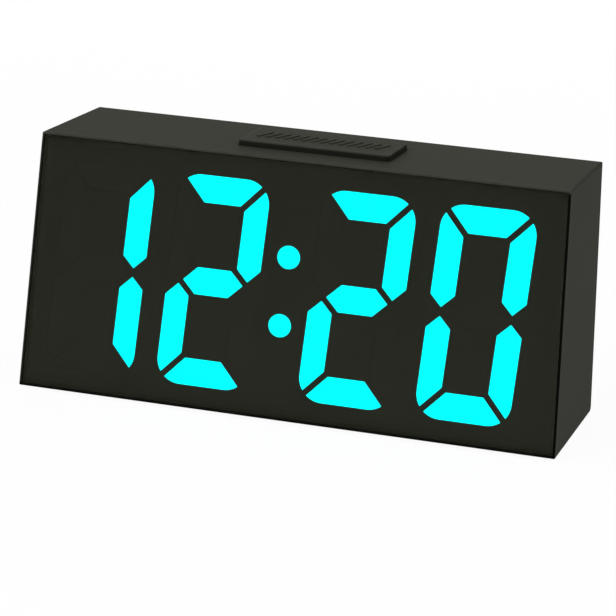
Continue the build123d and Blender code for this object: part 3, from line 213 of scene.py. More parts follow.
class StageSettings(bpy.types.PropertyGroup):
    """The floor, the lamps and the camera."""

    floor: FloatVectorProperty(
        name="Floor colour", description="The pale floor's colour", subtype="COLOR",
        default=(0.86, 0.86, 0.86), min=0, max=1,
    )
    floor_glow: FloatProperty(
        name="Floor glow", description="How far the floor is lifted to white where it is seen",
        default=0.95, min=0, max=1, subtype="FACTOR",
    )
    floor_reach: FloatProperty(
        name="Floor reach", description="Half the floor's side", default=4.0, min=0.5,
        unit="LENGTH", subtype="DISTANCE",
    )
    key: FloatProperty(
        name="Key lamp", description="Power of the lamp above the front left", default=8.2,
        min=0, subtype="POWER", unit="POWER",
    )
    fill: FloatProperty(
        name="Fill lamp", description="Power of the lamp at the right", default=1.8,
        min=0, subtype="POWER", unit="POWER",
    )
    back: FloatProperty(
        name="Back lamp", description="Power of the lamp behind the clock", default=5.0,
        min=0, subtype="POWER", unit="POWER",
    )
    surroundings: FloatProperty(
        name="Surroundings", description="Strength of the even light from all round",
        default=0.55, min=0,
    )
    eye: FloatVectorProperty(
        name="Camera place", description="Where the camera stands", size=3,
        default=(0.21208, -0.73893, 0.22915), unit="LENGTH", subtype="TRANSLATION",
    )
    turn: FloatVectorProperty(
        name="Camera turn", description="The camera's turn about X, Y and Z", size=3,
        default=(radians(75.34235), radians(-3.02121), radians(16.86307)),
        unit="ROTATION", subtype="EULER",
    )
    focal_length: FloatProperty(
        name="Focal length", description="The lens's focal length in millimetres",
        default=158.587, min=10,
    )


class SignSettings(bpy.types.PropertyGroup):
    """The raised, painted signs on the back cover, the battery door and the cell compartment."""

    colour: FloatVectorProperty(
        name="Colour", description="The pale paint on the signs", subtype="COLOR",
        default=(0.36, 0.36, 0.33), min=0, max=1,
    )
    size: FloatProperty(
        name="Size", description="Height of one sign", default=0.0042, min=0.001,
        unit="LENGTH", subtype="DISTANCE",
    )
    stroke: FloatProperty(
        name="Stroke", description="Half the width of a raised stroke", default=0.00024,
        min=0.00005, unit="LENGTH", subtype="DISTANCE",
    )
    rise: FloatProperty(
        name="Rise", description="How far a stroke stands out of the cover", default=0.00022,
        min=0.00005, unit="LENGTH", subtype="DISTANCE",
    )
    lift: FloatProperty(
        name="Lift", description="How far the row of signs stands above the buttons",
        default=0.0113, min=0, unit="LENGTH", subtype="DISTANCE",
    )
    stations: IntProperty(
        name="Stations", description="Rings along one stroke", default=28, min=8,
    )
    sides: IntProperty(name="Sides", description="Faces round one stroke", default=10, min=4)


class SpringSettings(bpy.types.PropertyGroup):
    """The coil springs."""

    wire: FloatProperty(
        name="Wire", description="Radius of the spring wire", default=0.00026, min=0.0001,
        unit="LENGTH", subtype="DISTANCE",
    )
    taper: FloatProperty(
        name="Taper", description="How far a cell spring narrows towards its tip",
        default=0.3, min=0, max=0.8, subtype="FACTOR",
    )
    cell_turns: FloatProperty(
        name="Cell spring turns", description="Turns of a cell spring", default=3.6, min=1,
    )
    bar_turns: FloatProperty(
        name="Bar spring turns", description="Turns of a snooze spring", default=6.5, min=1,
    )
    travel: FloatProperty(
        name="Travel", description="How far the snooze bar presses its springs",
        default=0.001, min=0, unit="LENGTH", subtype="DISTANCE",
    )


# Shader maths and materials

class Wire:
    """A node's output. Sums, differences and products with wires or numbers add Math nodes."""

    def __init__(self, recipe, socket):
        self.recipe = recipe
        self.socket = socket

    def maths(self, operation, *others):
        values = dict(enumerate((self, *others)))
        return self.recipe.node("ShaderNodeMath", {"operation": operation}, values)

    def __add__(self, other):
        return self.maths("ADD", other)

    __radd__ = __add__

    def __sub__(self, other):
        return self.maths("SUBTRACT", other)

    def __rsub__(self, other):
        return self.recipe.node("ShaderNodeMath", {"operation": "SUBTRACT"}, {0: other, 1: self})

    def __mul__(self, other):
        return self.maths("MULTIPLY", other)

    __rmul__ = __mul__

    def __abs__(self):
        return self.maths("ABSOLUTE")

    def exp(self):
        return self.maths("EXPONENT")

    def least(self, other):
        return self.maths("MINIMUM", other)

    def most(self, other):
        return self.maths("MAXIMUM", other)

    def clamped(self):
        return self.recipe.node("ShaderNodeClamp", {}, {"Value": self})

    def steps(self, low, high):
        """Rises smoothly from 0 at low to 1 at high."""
        settings = {"interpolation_type": "SMOOTHSTEP"}
        values = {"Value": self, "From Min": low, "From Max": high}
        return self.recipe.node("ShaderNodeMapRange", settings, values)


class Recipe:
    """A material, or the world's light, in the making. Its node method adds every node."""

    def __init__(self, name=None, owner=None):
        self.material = owner or bpy.data.materials.new(name)
        self.material.use_nodes = True
        self.tree = self.material.node_tree
        self.tree.nodes.clear()

    def node(self, kind, settings=None, values=None, output=0):
        """Adds a node, sets it up, fills its sockets and returns one of its outputs."""
        made = self.tree.nodes.new(kind)
        for name, value in (settings or {}).items():
            setattr(made, name, value)
        for name, value in (values or {}).items():
            if isinstance(value, Wire):
                self.tree.links.new(value.socket, made.inputs[name])
            else:
                made.inputs[name].default_value = value
        return Wire(self, made.outputs[output]) if made.outputs else made

    def place(self):
        """Object coordinates, in metres in the clock's own frame."""
        return self.node("ShaderNodeTexCoord", output="Object")

    def axes(self):
        """The X, Y and Z of the place, as three wires."""
        split = self.node("ShaderNodeSeparateXYZ", None, {0: self.place()})
        outputs = split.socket.node.outputs
        return [Wire(self, outputs[index]) for index in range(3)]

    def stretched(self, shares):
        """The place with each axis multiplied, for a pattern that runs along one of them."""
        settings = {"operation": "MULTIPLY"}
        return self.node("ShaderNodeVectorMath", settings, {0: self.place(), 1: shares})

    def noise(self, size, detail=3.0, roughness=0.55, vector=None):
        """Soft noise whose blotches are about this size, from 0 to 1."""
        values = {
            "Vector": vector or self.place(), "Scale": 1 / size,
            "Detail": detail, "Roughness": roughness,
        }
        return self.node("ShaderNodeTexNoise", None, values)

    def cells(self, size, feature="F1"):
        """The distance to the nearest of many scattered points."""
        values = {"Vector": self.place(), "Scale": 1 / size}
        return self.node("ShaderNodeTexVoronoi", {"feature": feature}, values)

    def mixed(self, share, first, second):
        """A colour between two colours, through the Mix node's colour sockets."""
        factor, colour_a, colour_b, result = 0, 6, 7, 2
        values = {factor: share, colour_a: opaque(first), colour_b: opaque(second)}
        return self.node("ShaderNodeMix", {"data_type": "RGBA"}, values, output=result)

    def bumped(self, height, depth):
        """A normal for a surface whose height varies from 0 to 1 over this depth."""
        values = {"Height": height, "Distance": depth, "Strength": 1.0}
        return self.node("ShaderNodeBump", None, values)

    def finish(self, **sockets):
        """Ends the material in one Principled shader."""
        values = {name.replace("_", " "): value for name, value in sockets.items()}
        shader = self.node("ShaderNodeBsdfPrincipled", None, values)
        self.node("ShaderNodeOutputMaterial", None, {"Surface": shader})
        return self.material


def opaque(value):
    """A colour with its fourth number. A wire stays as it is."""
    return value if isinstance(value, Wire) else (*value, 1.0)


def shade(colour, factor):
    """A colour made darker or lighter."""
    return tuple(min(1.0, part * factor) for part in colour)


def dress(material, *names):
    """Gives these CAD nodes a material."""
    for name in names:
        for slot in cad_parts[name].material_slots:
            slot.material = material


def printed(recipe, colour):
    """A print's colour with painted light, a fifth lighter at the base than at the roof."""
    at_roof, at_base = 0.94, 1.13
    low = recipe.axes()[2].steps(SHELL_HIGH.z, SHELL_LOW.z)
    return recipe.mixed(low, shade(colour, at_roof), shade(colour, at_base))


def meeting(face, others, reach):
    """1 where this face meets any of the others: exp(-(distance + other distance) / reach)."""
    total = None
    for other in others:
        near = ((face + other) * (-1 / reach)).exp()
        total = near if total is None else total + near
    return total.clamped()


def patchy(recipe, wear_and_highlight):
    """Wear and painted highlight that come and go along an edge, and never go altogether."""
    least = 0.35
    patches = recipe.noise(0.006, detail=2.0).steps(0.28, 0.62)
    return wear_and_highlight * (least + (1 - least) * patches)


def housing_faces(recipe, settings):
    """Distances from the roof, the base, the back, the slanted front and the drafted sides."""
    across, along, up = recipe.axes()
    half_low = (SHELL_HIGH.x - SHELL_LOW.x) / 2
    height = SHELL_HIGH.z - SHELL_LOW.z
    draft = (half_low - settings.top_width / 2) / height
    slant = (SHELL_HIGH.y - SHELL_LOW.y - settings.top_depth) / height
    lift = up - SHELL_LOW.z
    return [
        (SHELL_HIGH.z - up).most(0.0),
        lift.most(0.0),
        (SHELL_HIGH.y - along).most(0.0),
        (along - SHELL_LOW.y - lift * slant).most(0.0),
        (half_low - lift * draft - abs(across)).most(0.0),
    ]


def moulded_grain(recipe, settings):
    """The spark-eroded grain of a mould: fine pits over a softer, wider ripple."""
    pits = recipe.noise(settings.grain, detail=4.0, roughness=0.65)
    ripple = recipe.noise(settings.grain * 9, detail=2.0)
    return pits, recipe.bumped(pits * 0.8 + ripple * 0.35, settings.grain_depth)


def shell_painted_shade(recipe, settings):
    """Painted shade: 1 inside the shell and on the front rim's right and lower sides, 0 on the
    outer faces.

    The rim's left side gets this share less painted shade, and its upper side keeps the housing's
    colour.
    """
    left_paler = 0.55
    roof, base, back, front, sides = housing_faces(recipe, settings)
    left = recipe.axes()[0].steps(*RIM_MIDDLE) * base.steps(*RIM_FOOT)
    above = roof.steps(*RIM_HEAD)
    rim = front.steps(*RIM_DEPTH) * (1.0 - left * left_paler) * (1.0 - above)
    inside = roof.least(base).least(back).least(front).least(sides).steps(*INSIDE_DEPTH)
    return rim.most(inside)


def front_edges_rubbed_and_highlit(recipe, settings):
    """1 along the slanted front's edges, where hands rub the shell and a painted highlight lies.
    """
    roof, base, _, front, sides = housing_faces(recipe, settings)
    return meeting(front, (roof, base, sides), settings.edge_reach)


def side_edges_painted_shade(recipe, settings):
    """1 along the sides' other edges, which get a little painted shade."""
    roof, base, back, _, sides = housing_faces(recipe, settings)
    return meeting(sides, (roof, base, back), settings.edge_reach)


def bar_faces(recipe):
    """Distances from the snooze bar's top and its four sides."""
    across, along, up = recipe.axes()
    low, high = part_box("snooze_bar")
    return [
        (high.z - GRIP_HEIGHT - up).most(0.0),
        (high.x - FLANGE_REACH - across).most(0.0),
        (across - low.x - FLANGE_REACH).most(0.0),
        (high.y - FLANGE_REACH - along).most(0.0),
        (along - low.y).most(0.0),
    ]


def bar_edges(recipe, settings):
    """1 along the edges of the snooze bar's top."""
    top, *sides = bar_faces(recipe)
    return meeting(top, sides, settings.edge_reach)


def bar_sides_painted_shade(recipe, settings):
    """Painted shade: this much on the snooze bar's sides and 0 on its top."""
    cover = 0.6
    top = bar_faces(recipe)[0]
    return top.steps(*BAR_SIDE) * cover


def moulded_plastic(name, settings, colour, rubbed=None, painted_shade=None, painted_deep_shade=None):
    """Grained plastic with a faint speckle.

    The masks given work out where the plastic is rubbed pale, with a painted highlight on the
    shell's front edges; where painted shade darkens it a little; and where painted shade blackens
    it.
    """
    recipe = Recipe(name)
    pits, normal = moulded_grain(recipe, settings)
    clouds = recipe.noise(0.022, detail=2.0)
    speckle = recipe.cells(settings.grain * 2.6).steps(0.30, 0.10) * pits.steps(0.45, 0.75)
    base = recipe.mixed(clouds, shade(colour, 0.93), shade(colour, 1.08))
    base = recipe.mixed(speckle * 0.5, base, shade(colour, 1.7))
    rough = 0.50 + 0.14 * pits + 0.05 * clouds
    # Painted shade, a little darker, along the edges given
    if painted_shade:
        base = recipe.mixed(painted_shade(recipe, settings), base, shade(colour, 0.6))
    # Rubbed wear, which on the shell's front edges is also a painted highlight
    if rubbed:
        wear_and_highlight = patchy(recipe, rubbed(recipe, settings))
        base = recipe.mixed(wear_and_highlight, base, tuple(settings.worn_and_highlit))
        rough = rough - wear_and_highlight * 0.14
    # Painted shade, near black, where the mask given for it is 1
    if painted_deep_shade:
        base = recipe.mixed(painted_deep_shade(recipe, settings), base, tuple(settings.deep_shade_colour))
    return recipe.finish(
        Base_Color=base, Roughness=rough, Normal=normal, Specular_IOR_Level=settings.gloss
    )


class CLOCK_OT_housing(bpy.types.Operator):
    """Finish the shell, the back cover, the battery door and the snooze bar"""

    bl_idname = "clock.housing"
    bl_label = "Housing"

    def execute(self, context):
        settings = context.scene.clock_housing
        colour = tuple(settings.colour)
        # The shell: rubbed front edges with a painted highlight, painted shade on its side edges,
        # and painted shade blackening its rim and inside
        shell = moulded_plastic(
            "shell_moulding", settings, colour, rubbed=front_edges_rubbed_and_highlit, painted_shade=side_edges_painted_shade,
            painted_deep_shade=shell_painted_shade,
        )
        dress(shell, "main_shell")
        cover = moulded_plastic("cover_moulding", settings, colour)
        dress(cover, "back_cover", "battery_door")
        # The snooze bar: rubbed edges, and painted shade on its sides
        bar = moulded_plastic(
            "snooze_bar_moulding", settings, colour, rubbed=bar_edges, painted_deep_shade=bar_sides_painted_shade
        )
        dress(bar, "snooze_bar")
        return {"FINISHED"}


class CLOCK_OT_feet(bpy.types.Operator):
    """Finish the rubber feet"""

    bl_idname = "clock.feet"
    bl_label = "Feet"

    def execute(self, context):
        recipe = Recipe("foot_rubber")
        dust = recipe.noise(0.0011, detail=4.0).steps(0.45, 0.8)
        skin = recipe.noise(0.0003, detail=2.0)
        base = recipe.mixed(dust, (0.012, 0.012, 0.012), (0.05, 0.048, 0.043))
        rubber = recipe.finish(
            Base_Color=base, Roughness=0.82 + 0.1 * skin,
            Normal=recipe.bumped(skin, depth=0.00003), Specular_IOR_Level=0.3,
        )
        dress(rubber, "feet")
        return {"FINISHED"}


class CLOCK_OT_lens(bpy.types.Operator):
    """Finish the smoked lens"""

    bl_idname = "clock.lens"
    bl_label = "Lens"

    def execute(self, context):
        settings = context.scene.clock_lens
        recipe = Recipe("smoked_acrylic")
        smears = recipe.noise(0.03, vector=recipe.stretched((1.0, 1.0, 2.4)))
        specks = recipe.cells(0.004).steps(0.05, 0.02)
        colour = tuple(settings.colour)
        base = recipe.mixed(specks * 0.4, colour, shade(colour, 3.0))
        rough = 0.07 + 0.07 * smears + 0.2 * specks
        lens = recipe.finish(
            Base_Color=base, Roughness=rough, Alpha=settings.cover,
            Specular_IOR_Level=settings.sheen,
        )
        dress(lens, "front_lens")
        return {"FINISHED"}


class CLOCK_OT_display(bpy.types.Operator):
    """Finish the display's mask and its lit and dark segments, and ready the border's print"""

    bl_idname = "clock.display"
    bl_label = "Display"

    def execute(self, context):
        settings = context.scene.clock_display
        self.light_segments(settings)
        self.darken_segments(settings)
        dress(self.print_mask("display_mask", settings), "display_reflector")
        self.print_mask("border_print", settings, context.scene.clock_housing)
        return {"FINISHED"}

    def print_mask(self, name, settings, housing=None):
        """The mask's print, made a fifth lighter at the base by painted light.

        Where a housing is given, painted light makes the print paler towards the housing's roof
        and sides, by exp(-distance / fade), to make up for the shade of the shell's rim. The
        right side is in less shade, so its distance is counted longer by this share of the fade.
        """
        less_at_right = 0.6
        recipe = Recipe(name)
        print_grain = recipe.noise(0.0004)
        mask = tuple(settings.mask)
        # Painted light: the print is lighter towards the base
        base = recipe.mixed(print_grain * 0.25, printed(recipe, mask), shade(mask, 1.4))
        if housing:
            roof, _, _, _, sides = housing_faces(recipe, housing)
            right = recipe.axes()[0].steps(0.0, settings.border)
            sides = sides + right * (settings.fade * less_at_right)
            inset = roof.least(sides) - settings.inset
            edge = (inset.most(0.0) * (-1 / settings.fade)).exp()
            # Painted light, paler near the rim, against the rim's shade
            base = recipe.mixed(edge, base, shade(mask, settings.lift))
        return recipe.finish(
            Base_Color=base, Roughness=0.6 + 0.1 * print_grain,
            Normal=recipe.bumped(print_grain, depth=0.000004), Specular_IOR_Level=0.1,
        )

    def light_segments(self, settings):
        recipe = Recipe("lit_diffuser")
        haze = recipe.noise(0.0035)
        milk = recipe.noise(0.0005, detail=2.0)
        lit = tuple(settings.lit)
        glow = recipe.mixed(0.25 * haze, lit, shade(lit, 0.9))
        base = recipe.mixed(milk, shade(lit, 0.72), shade(lit, 0.8))
        material = recipe.finish(
            Base_Color=base, Emission_Color=glow, Emission_Strength=settings.strength,
            Roughness=0.4 + 0.1 * milk, Specular_IOR_Level=0.06,
        )
        dress(material, "colon_lit", *[f"{digit}_lit" for digit in DIGITS])

    def darken_segments(self, settings):
        recipe = Recipe("dark_diffuser")
        milk = recipe.noise(0.0005, detail=2.0)
        dark = tuple(settings.dark)
        # Painted light: the dark segments are lighter towards the base, like the mask
        base = recipe.mixed(milk * 0.25, printed(recipe, dark), shade(dark, 1.35))
        material = recipe.finish(
            Base_Color=base, Roughness=0.42 + 0.1 * milk, Specular_IOR_Level=0.1
        )
        dress(material, *[f"{digit}_dark" for digit in DIGITS])


class CLOCK_OT_controls(bpy.types.Operator):
    """Finish the rear buttons, the alarm knob, the power socket and the sounder"""

    bl_idname = "clock.controls"
    bl_label = "Rear controls"

    def execute(self, context):
        settings = context.scene.clock_housing
        colour = shade(settings.colour, 1.35)
        keys = moulded_plastic("button_moulding", settings, colour)
        dress(keys, "alarm_knob", *[f"{name}_button" for name in BUTTONS])
        socket = moulded_plastic("socket_moulding", settings, shade(settings.colour, 0.6))
        dress(socket, "inlet_body", "sounder", "button_switches", "alarm_switch", "snooze_switch")
        recipe = Recipe("plunger_nylon")
        flow = recipe.noise(0.001, detail=2.0)
        base = recipe.mixed(flow, (0.62, 0.60, 0.54), (0.70, 0.68, 0.62))
        nylon = recipe.finish(Base_Color=base, Roughness=0.4 + 0.1 * flow)
        dress(nylon, "alarm_lever", "snooze_plunger", *[f"{name}_plunger" for name in BUTTONS])
        return {"FINISHED"}


class CLOCK_OT_metal(bpy.types.Operator):
    """Finish the screws, contacts, springs and the socket's pin"""

    bl_idname = "clock.metal"
    bl_label = "Metal"

    def execute(self, context):
        recipe = Recipe("zinc_screw_steel")
        scuffs = recipe.noise(0.0006, detail=4.0, roughness=0.7)
        base = recipe.mixed(scuffs, (0.20, 0.20, 0.205), (0.42, 0.42, 0.43))
        screws = recipe.finish(
            Base_Color=base, Metallic=1.0, Roughness=0.30 + 0.2 * scuffs,
            Normal=recipe.bumped(scuffs, depth=0.00002),
        )
        dress(screws, "cover_screws", "display_screws", "board_screws", "snooze_screws")
        recipe = Recipe("nickel_plate")
        drawn = recipe.noise(0.0005, vector=recipe.stretched((1.0, 1.0, 0.1)))
        base = recipe.mixed(drawn, (0.62, 0.60, 0.56), (0.74, 0.72, 0.68))
        nickel = recipe.finish(Base_Color=base, Metallic=1.0, Roughness=0.2 + 0.15 * drawn)
        dress(
            nickel, "battery_plates", "battery_springs", "snooze_springs", "inlet_pin", "crystal"
        )
        return {"FINISHED"}


class CLOCK_OT_inside(bpy.types.Operator):
    """Finish the boards, the chips, the plugs, the flat cable and the leads"""

    bl_idname = "clock.inside"
    bl_label = "Inside"

    def execute(self, context):
        recipe = Recipe("board_laminate")
        weave = recipe.noise(0.0008, detail=2.0)
        tracks = recipe.cells(0.003, "DISTANCE_TO_EDGE").steps(0.09, 0.05)
        base = recipe.mixed(weave, (0.012, 0.075, 0.028), (0.018, 0.10, 0.036))
        base = recipe.mixed(tracks * 0.5, base, (0.03, 0.17, 0.06))
        board = recipe.finish(
            Base_Color=base, Roughness=0.35 + 0.1 * weave,
            Normal=recipe.bumped(tracks, depth=0.00003),
        )
        dress(board, "display_board", "main_board", "snooze_board")
        self.plain("chip_epoxy", (0.014, 0.014, 0.015), 0.55, "controller_chip",
                   "driver_transistors", "filter_capacitors")
        self.plain("plug_nylon", (0.68, 0.66, 0.58), 0.45, "display_header", "ribbon_header")
        self.plain("cable_vinyl", (0.30, 0.30, 0.32), 0.5, "display_ribbon")
        self.plain("lead_vinyl", (0.33, 0.012, 0.010), 0.42, "battery_leads", "snooze_leads")
        self.plain("led_resin", (0.72, 0.68, 0.45), 0.25, "led_chips")
        return {"FINISHED"}

    def plain(self, name, colour, rough, *nodes):
        """A moulded or drawn finish with a slight mottle."""
        recipe = Recipe(name)
        mottle = recipe.noise(0.0009)
        base = recipe.mixed(mottle, shade(colour, 0.88), shade(colour, 1.1))
        material = recipe.finish(
            Base_Color=base, Roughness=rough + 0.1 * mottle,
            Normal=recipe.bumped(mottle, depth=0.00001),
        )
        dress(material, *nodes)


# Raised signs and springs

def tube_faces(stations, sides, closed):
    """Quads between the rings of a tube, and a flat end on each end of an open one."""
    along = np.arange(stations if closed else stations - 1)[:, None]
    round_it = np.arange(sides)[None, :]
    here = along * sides
    ahead = (along + 1) % stations * sides
    beside = (round_it + 1) % sides
    corners = (here + round_it, here + beside, ahead + beside, ahead + round_it)
    faces = np.stack(np.broadcast_arrays(*corners), axis=-1).reshape(-1, 4).tolist()
    if not closed:
        faces.append(list(range(sides))[::-1])
        faces.append(list(range((stations - 1) * sides, stations * sides)))
    return faces


def bead(path, face, settings, closed=False):
    """A raised stroke along a path of (across, up) places on an upright face.

    Each ring is an ellipse: across the stroke it reaches stroke * cos(turn), and out of the
    face rise * sin(turn). Towards an open end both shrink as sqrt(1 - (1 - way / stroke)^2),
    where way is the distance to that end, which rounds the end off.
    """
    steps = np.roll(path, -1, axis=0) - np.roll(path, 1, axis=0)
    if not closed:
        steps[0], steps[-1] = path[1] - path[0], path[-1] - path[-2]
    steps /= np.linalg.norm(steps, axis=1)[:, None]
    normal = np.stack([steps[:, 1], -steps[:, 0]], axis=1)
    swell = np.ones(len(path))
    if not closed:
        runs = np.linalg.norm(np.diff(path, axis=0), axis=1)
        way = np.concatenate([[0.0], np.cumsum(runs)])
        way = np.minimum(way, way[-1] - way)
        short = np.clip(1 - way / settings.stroke, 0, 0.995)
        swell = np.sqrt(1 - short**2)
    turn = np.linspace(0, tau, settings.sides, endpoint=False)
    reach = settings.stroke * np.outer(swell, np.cos(turn))
    out = settings.rise * np.outer(swell, np.sin(turn))
    flat = path[:, None, :] + normal[:, None, :] * reach[:, :, None]
    points = np.stack([flat[..., 0], face + out, flat[..., 1]], axis=-1)
    return points.reshape(-1, 3), tube_faces(len(path), settings.sides, closed)


def line(settings, *places):
    """A straight stroke: the places' mean weighted by way, with more rings near the ends."""
    first, last = np.array(places, float)
    share = (1 - np.cos(np.linspace(0, pi, settings.stations)))[:, None] / 2
    return first + (last - first) * share, False


def ring(settings, middle, radius, start=0.0, sweep=tau):
    """A circle or an arc: middle + radius * (cos(turn), sin(turn)), open where it sweeps less."""
    closed = sweep >= tau
    share = np.linspace(0, 1, settings.stations, endpoint=not closed)
    if not closed:
        share = (1 - np.cos(pi * share)) / 2
    turn = start + sweep * share
    return np.array(middle) + radius * np.stack([np.cos(turn), np.sin(turn)], axis=1), closed


# Signs are drawn round their middle, in shares of their height

def sun_sign(settings):
    """A small ring with eight rays round it."""
    rays = [
        line(settings, (0.34 * across, 0.34 * up), (0.52 * across, 0.52 * up))
        for across, up in zip(np.cos(np.arange(8) * tau / 8), np.sin(np.arange(8) * tau / 8))
    ]
    return [ring(settings, (0, 0), 0.21), *rays]


def dial_sign(*hands):
    """A clock face with these hands, each by its length and its turn from noon in degrees."""
    def sign(settings):
        strokes = [ring(settings, (0, 0), 0.5)]
        for length, turn in hands:
            tip = (length * np.sin(radians(turn)), length * np.cos(radians(turn)))
            strokes.append(line(settings, (0, 0), tip))
        return strokes
    return sign


def bell_sign(settings):
    """A bell: its side is 0.17 + 0.25 * fall^3 from the middle, under a half-round crown."""
    fall = np.linspace(0, 1, settings.stations // 2)
    side = np.stack([0.17 + 0.25 * fall**3, 0.25 - 0.6 * fall], axis=1)
    turn = np.linspace(pi, 0, settings.stations // 2)[1:-1]
    crown = np.stack([0.17 * np.cos(turn), 0.25 + 0.2 * np.sin(turn)], axis=1)
    outline = np.concatenate([side[::-1] * (-1, 1), crown, side])
    return [
        (outline, False),
        line(settings, (-0.42, -0.35), (0.42, -0.35)),
        ring(settings, (0, -0.35), 0.13, pi, pi),
    ]


def silent_bell_sign(settings):
    """The bell with a stroke through it."""
    return [*bell_sign(settings), line(settings, (-0.46, -0.5), (0.46, 0.5))]


def plus_sign(settings, middle=(0, 0), reach=0.3):
    across, up = middle
    return [
        line(settings, (across - reach, up), (across + reach, up)),
        line(settings, (across, up - reach), (across, up + reach)),
    ]


def minus_sign(settings, middle=(0, 0), reach=0.3):
    return [line(settings, (middle[0] - reach, middle[1]), (middle[0] + reach, middle[1]))]


def polarity_sign(settings):
    """The round plug's sign: its pin joined to a ringed plus, its sleeve to a ringed minus."""
    return [
        ring(settings, (0, 0), 0.36, radians(35), radians(290)),
        ring(settings, (0, 0), 0.06),
        line(settings, (0.06, 0), (0.78, 0)),
        line(settings, (-0.36, 0), (-0.78, 0)),
        ring(settings, (1.06, 0), 0.28),
        ring(settings, (-1.06, 0), 0.28),
        *plus_sign(settings, (1.06, 0), 0.13),
        *minus_sign(settings, (-1.06, 0), 0.13),
    ]


def arrow_sign(settings):
    """An arrow that points down, the way the door's tongue is pressed."""
    return [
        line(settings, (0, 0.45), (0, -0.4)),
        line(settings, (-0.32, -0.08), (0, -0.42)),
        line(settings, (0.32, -0.08), (0, -0.42)),
    ]


def build_piece(name, parts, body, material, replaced=(), smooth=True):
    """Joins parts, each of points and faces, in one mesh that rides on a body."""
    points, faces, count = [], [], 0
    for some_points, some_faces in parts:
        points.append(some_points)
        faces += [[corner + count for corner in face] for face in some_faces]
        count += len(some_points)
    mesh = bpy.data.meshes.new(name)
    mesh.from_pydata(np.concatenate(points).tolist(), [], faces)
    if smooth:
        mesh.shade_smooth()
    mesh.materials.append(bpy.data.materials[material])
    piece = bpy.data.objects.new(name, mesh)
    bpy.context.scene.collection.objects.link(piece)
    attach(piece, body)
    if replaced:
        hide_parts(*replaced)
    return piece


def sign_parts(settings, face, signs):
    """Beads for signs, each by its place on the face and its strokes, as read from behind."""
    parts = []
    for across, up, sign in signs:
        for path, closed in sign(settings):
            placed = np.array([across, up]) + path * settings.size * (-1, 1)
            parts.append(bead(placed[::-1], face, settings, closed))
    return parts


def middle_of(node):
    low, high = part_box(node)
    return (low + high) / 2


class CLOCK_OT_border(bpy.types.Operator):
    """Print the black border on the lens's back and round its cut edges"""

    bl_idname = "clock.border"
    bl_label = "Lens border"

    def execute(self, context):
        settings = context.scene.clock_display
        corners = lens_back_corners()
        up = corners[2] - corners[1]
        up /= np.linalg.norm(up)
        across = np.array([1.0, 0.0, 0.0])
        behind = np.cross(up, across)
        signs = -np.array(CORNER_SIGNS)[:, :, None]
        inwards = across * signs[:, 0] + up * signs[:, 1]
        near, far = 0.5 * settings.film, 1.5 * settings.film
        short_of_bevel = 1.1
        front = short_of_bevel * settings.bevel - settings.thickness
        profile = (
            (-near, front), (-near, near), (settings.border, near),
            (settings.border, far), (-far, far), (-far, front),
        )
        # Carried round the lens, each of the profile's points is corner + inset * inwards
        # + depth * behind.
        rings = [corners + inwards * inset + behind * depth for inset, depth in profile]
        points = np.stack(rings, axis=1).reshape(-1, 3)
        build_piece(
            "lens_border", [(points, tube_faces(len(corners), len(profile), True))], "case",
            "border_print", smooth=False,
        )
        return {"FINISHED"}


def lens_back_corners():
    """The four corners of the lens's inner face, anticlockwise from the lower left as seen from
    the front. A place's depth is along - up * slant, and the face is where that is greatest."""
    nearly = 0.0005
    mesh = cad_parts["front_lens"].data
    places = np.empty(len(mesh.vertices) * 3)
    mesh.vertices.foreach_get("co", places)
    places = places.reshape(-1, 3)
    settings = bpy.context.scene.clock_housing
    slant = (SHELL_HIGH.y - SHELL_LOW.y - settings.top_depth) / (SHELL_HIGH.z - SHELL_LOW.z)
    depth = places[:, 1] - places[:, 2] * slant
    back = places[depth > depth.max() - nearly]
    return np.array([back[np.argmax(back[:, 0] * x + back[:, 2] * z)] for x, z in CORNER_SIGNS])


class CLOCK_OT_signs(bpy.types.Operator):
    """Raise the signs on the back cover, in the cell compartment and on the battery door"""

    bl_idname = "clock.signs"
    bl_label = "Moulded signs"

    def execute(self, context):
        settings = context.scene.clock_signs
        recipe = Recipe("sign_paint")
        patches = recipe.noise(settings.size / 3, detail=4.0, roughness=0.65)
        rubbed = patches.steps(0.52, 0.72)
        colour = tuple(settings.colour)
        base = recipe.mixed(rubbed * 0.5, colour, shade(colour, 0.55))
        recipe.finish(Base_Color=base, Roughness=0.55 + 0.15 * rubbed, Specular_IOR_Level=0.2)
        self.label_controls(settings)
        self.label_cells(settings)
        tongue = (middle_of("battery_door").x, DOOR_HIGH.z - settings.size, arrow_sign)
        build_piece(
            "door_arrow", sign_parts(settings, DOOR_HIGH.y, [tongue]), "battery_cover",
            "sign_paint",
        )
        return {"FINISHED"}

    def label_controls(self, settings):
        """A sign above each control, and two above the alarm knob, all at the same height."""
        signs = {
            "brightness_button": sun_sign,
            "minute_button": dial_sign((0.36, 0)),
            "hour_button": dial_sign((0.24, 60)),
            "alarm_set_button": bell_sign,
            "time_set_button": dial_sign((0.36, 0), (0.24, 90)),
            "inlet_pin": polarity_sign,
        }
        row = middle_of("minute_button").z + settings.lift
        placed = [(middle_of(node).x, row, sign) for node, sign in signs.items()]
        knob = middle_of("alarm_knob").x
        placed += [
            (knob + 1.2 * settings.size, row, bell_sign),
            (knob - 0.6 * settings.size, row, silent_bell_sign),
        ]
        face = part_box("back_cover")[1].y
        build_piece(
            "control_signs", sign_parts(settings, face, placed), "case", "sign_paint",
        )

    def label_cells(self, settings):
        """A plus and a minus on the compartment's floor at the ends of each cell."""
        low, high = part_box("battery_springs")
        middle = (low + high) / 2
        reach = (high.x - low.x) / 2 - 2.2 * settings.size
        lift = (DOOR_HIGH.z - DOOR_LOW.z) / 5
        placed = [
            (middle.x - reach, middle.z + lift, minus_sign),
            (middle.x + reach, middle.z + lift, plus_sign),
            (middle.x - reach, middle.z - lift, plus_sign),
            (middle.x + reach, middle.z - lift, minus_sign),
        ]
        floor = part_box("battery_plates")[0].y + TAIL_REACH
        build_piece(
            "cell_signs", sign_parts(settings, floor, placed), "case", "sign_paint",
        )


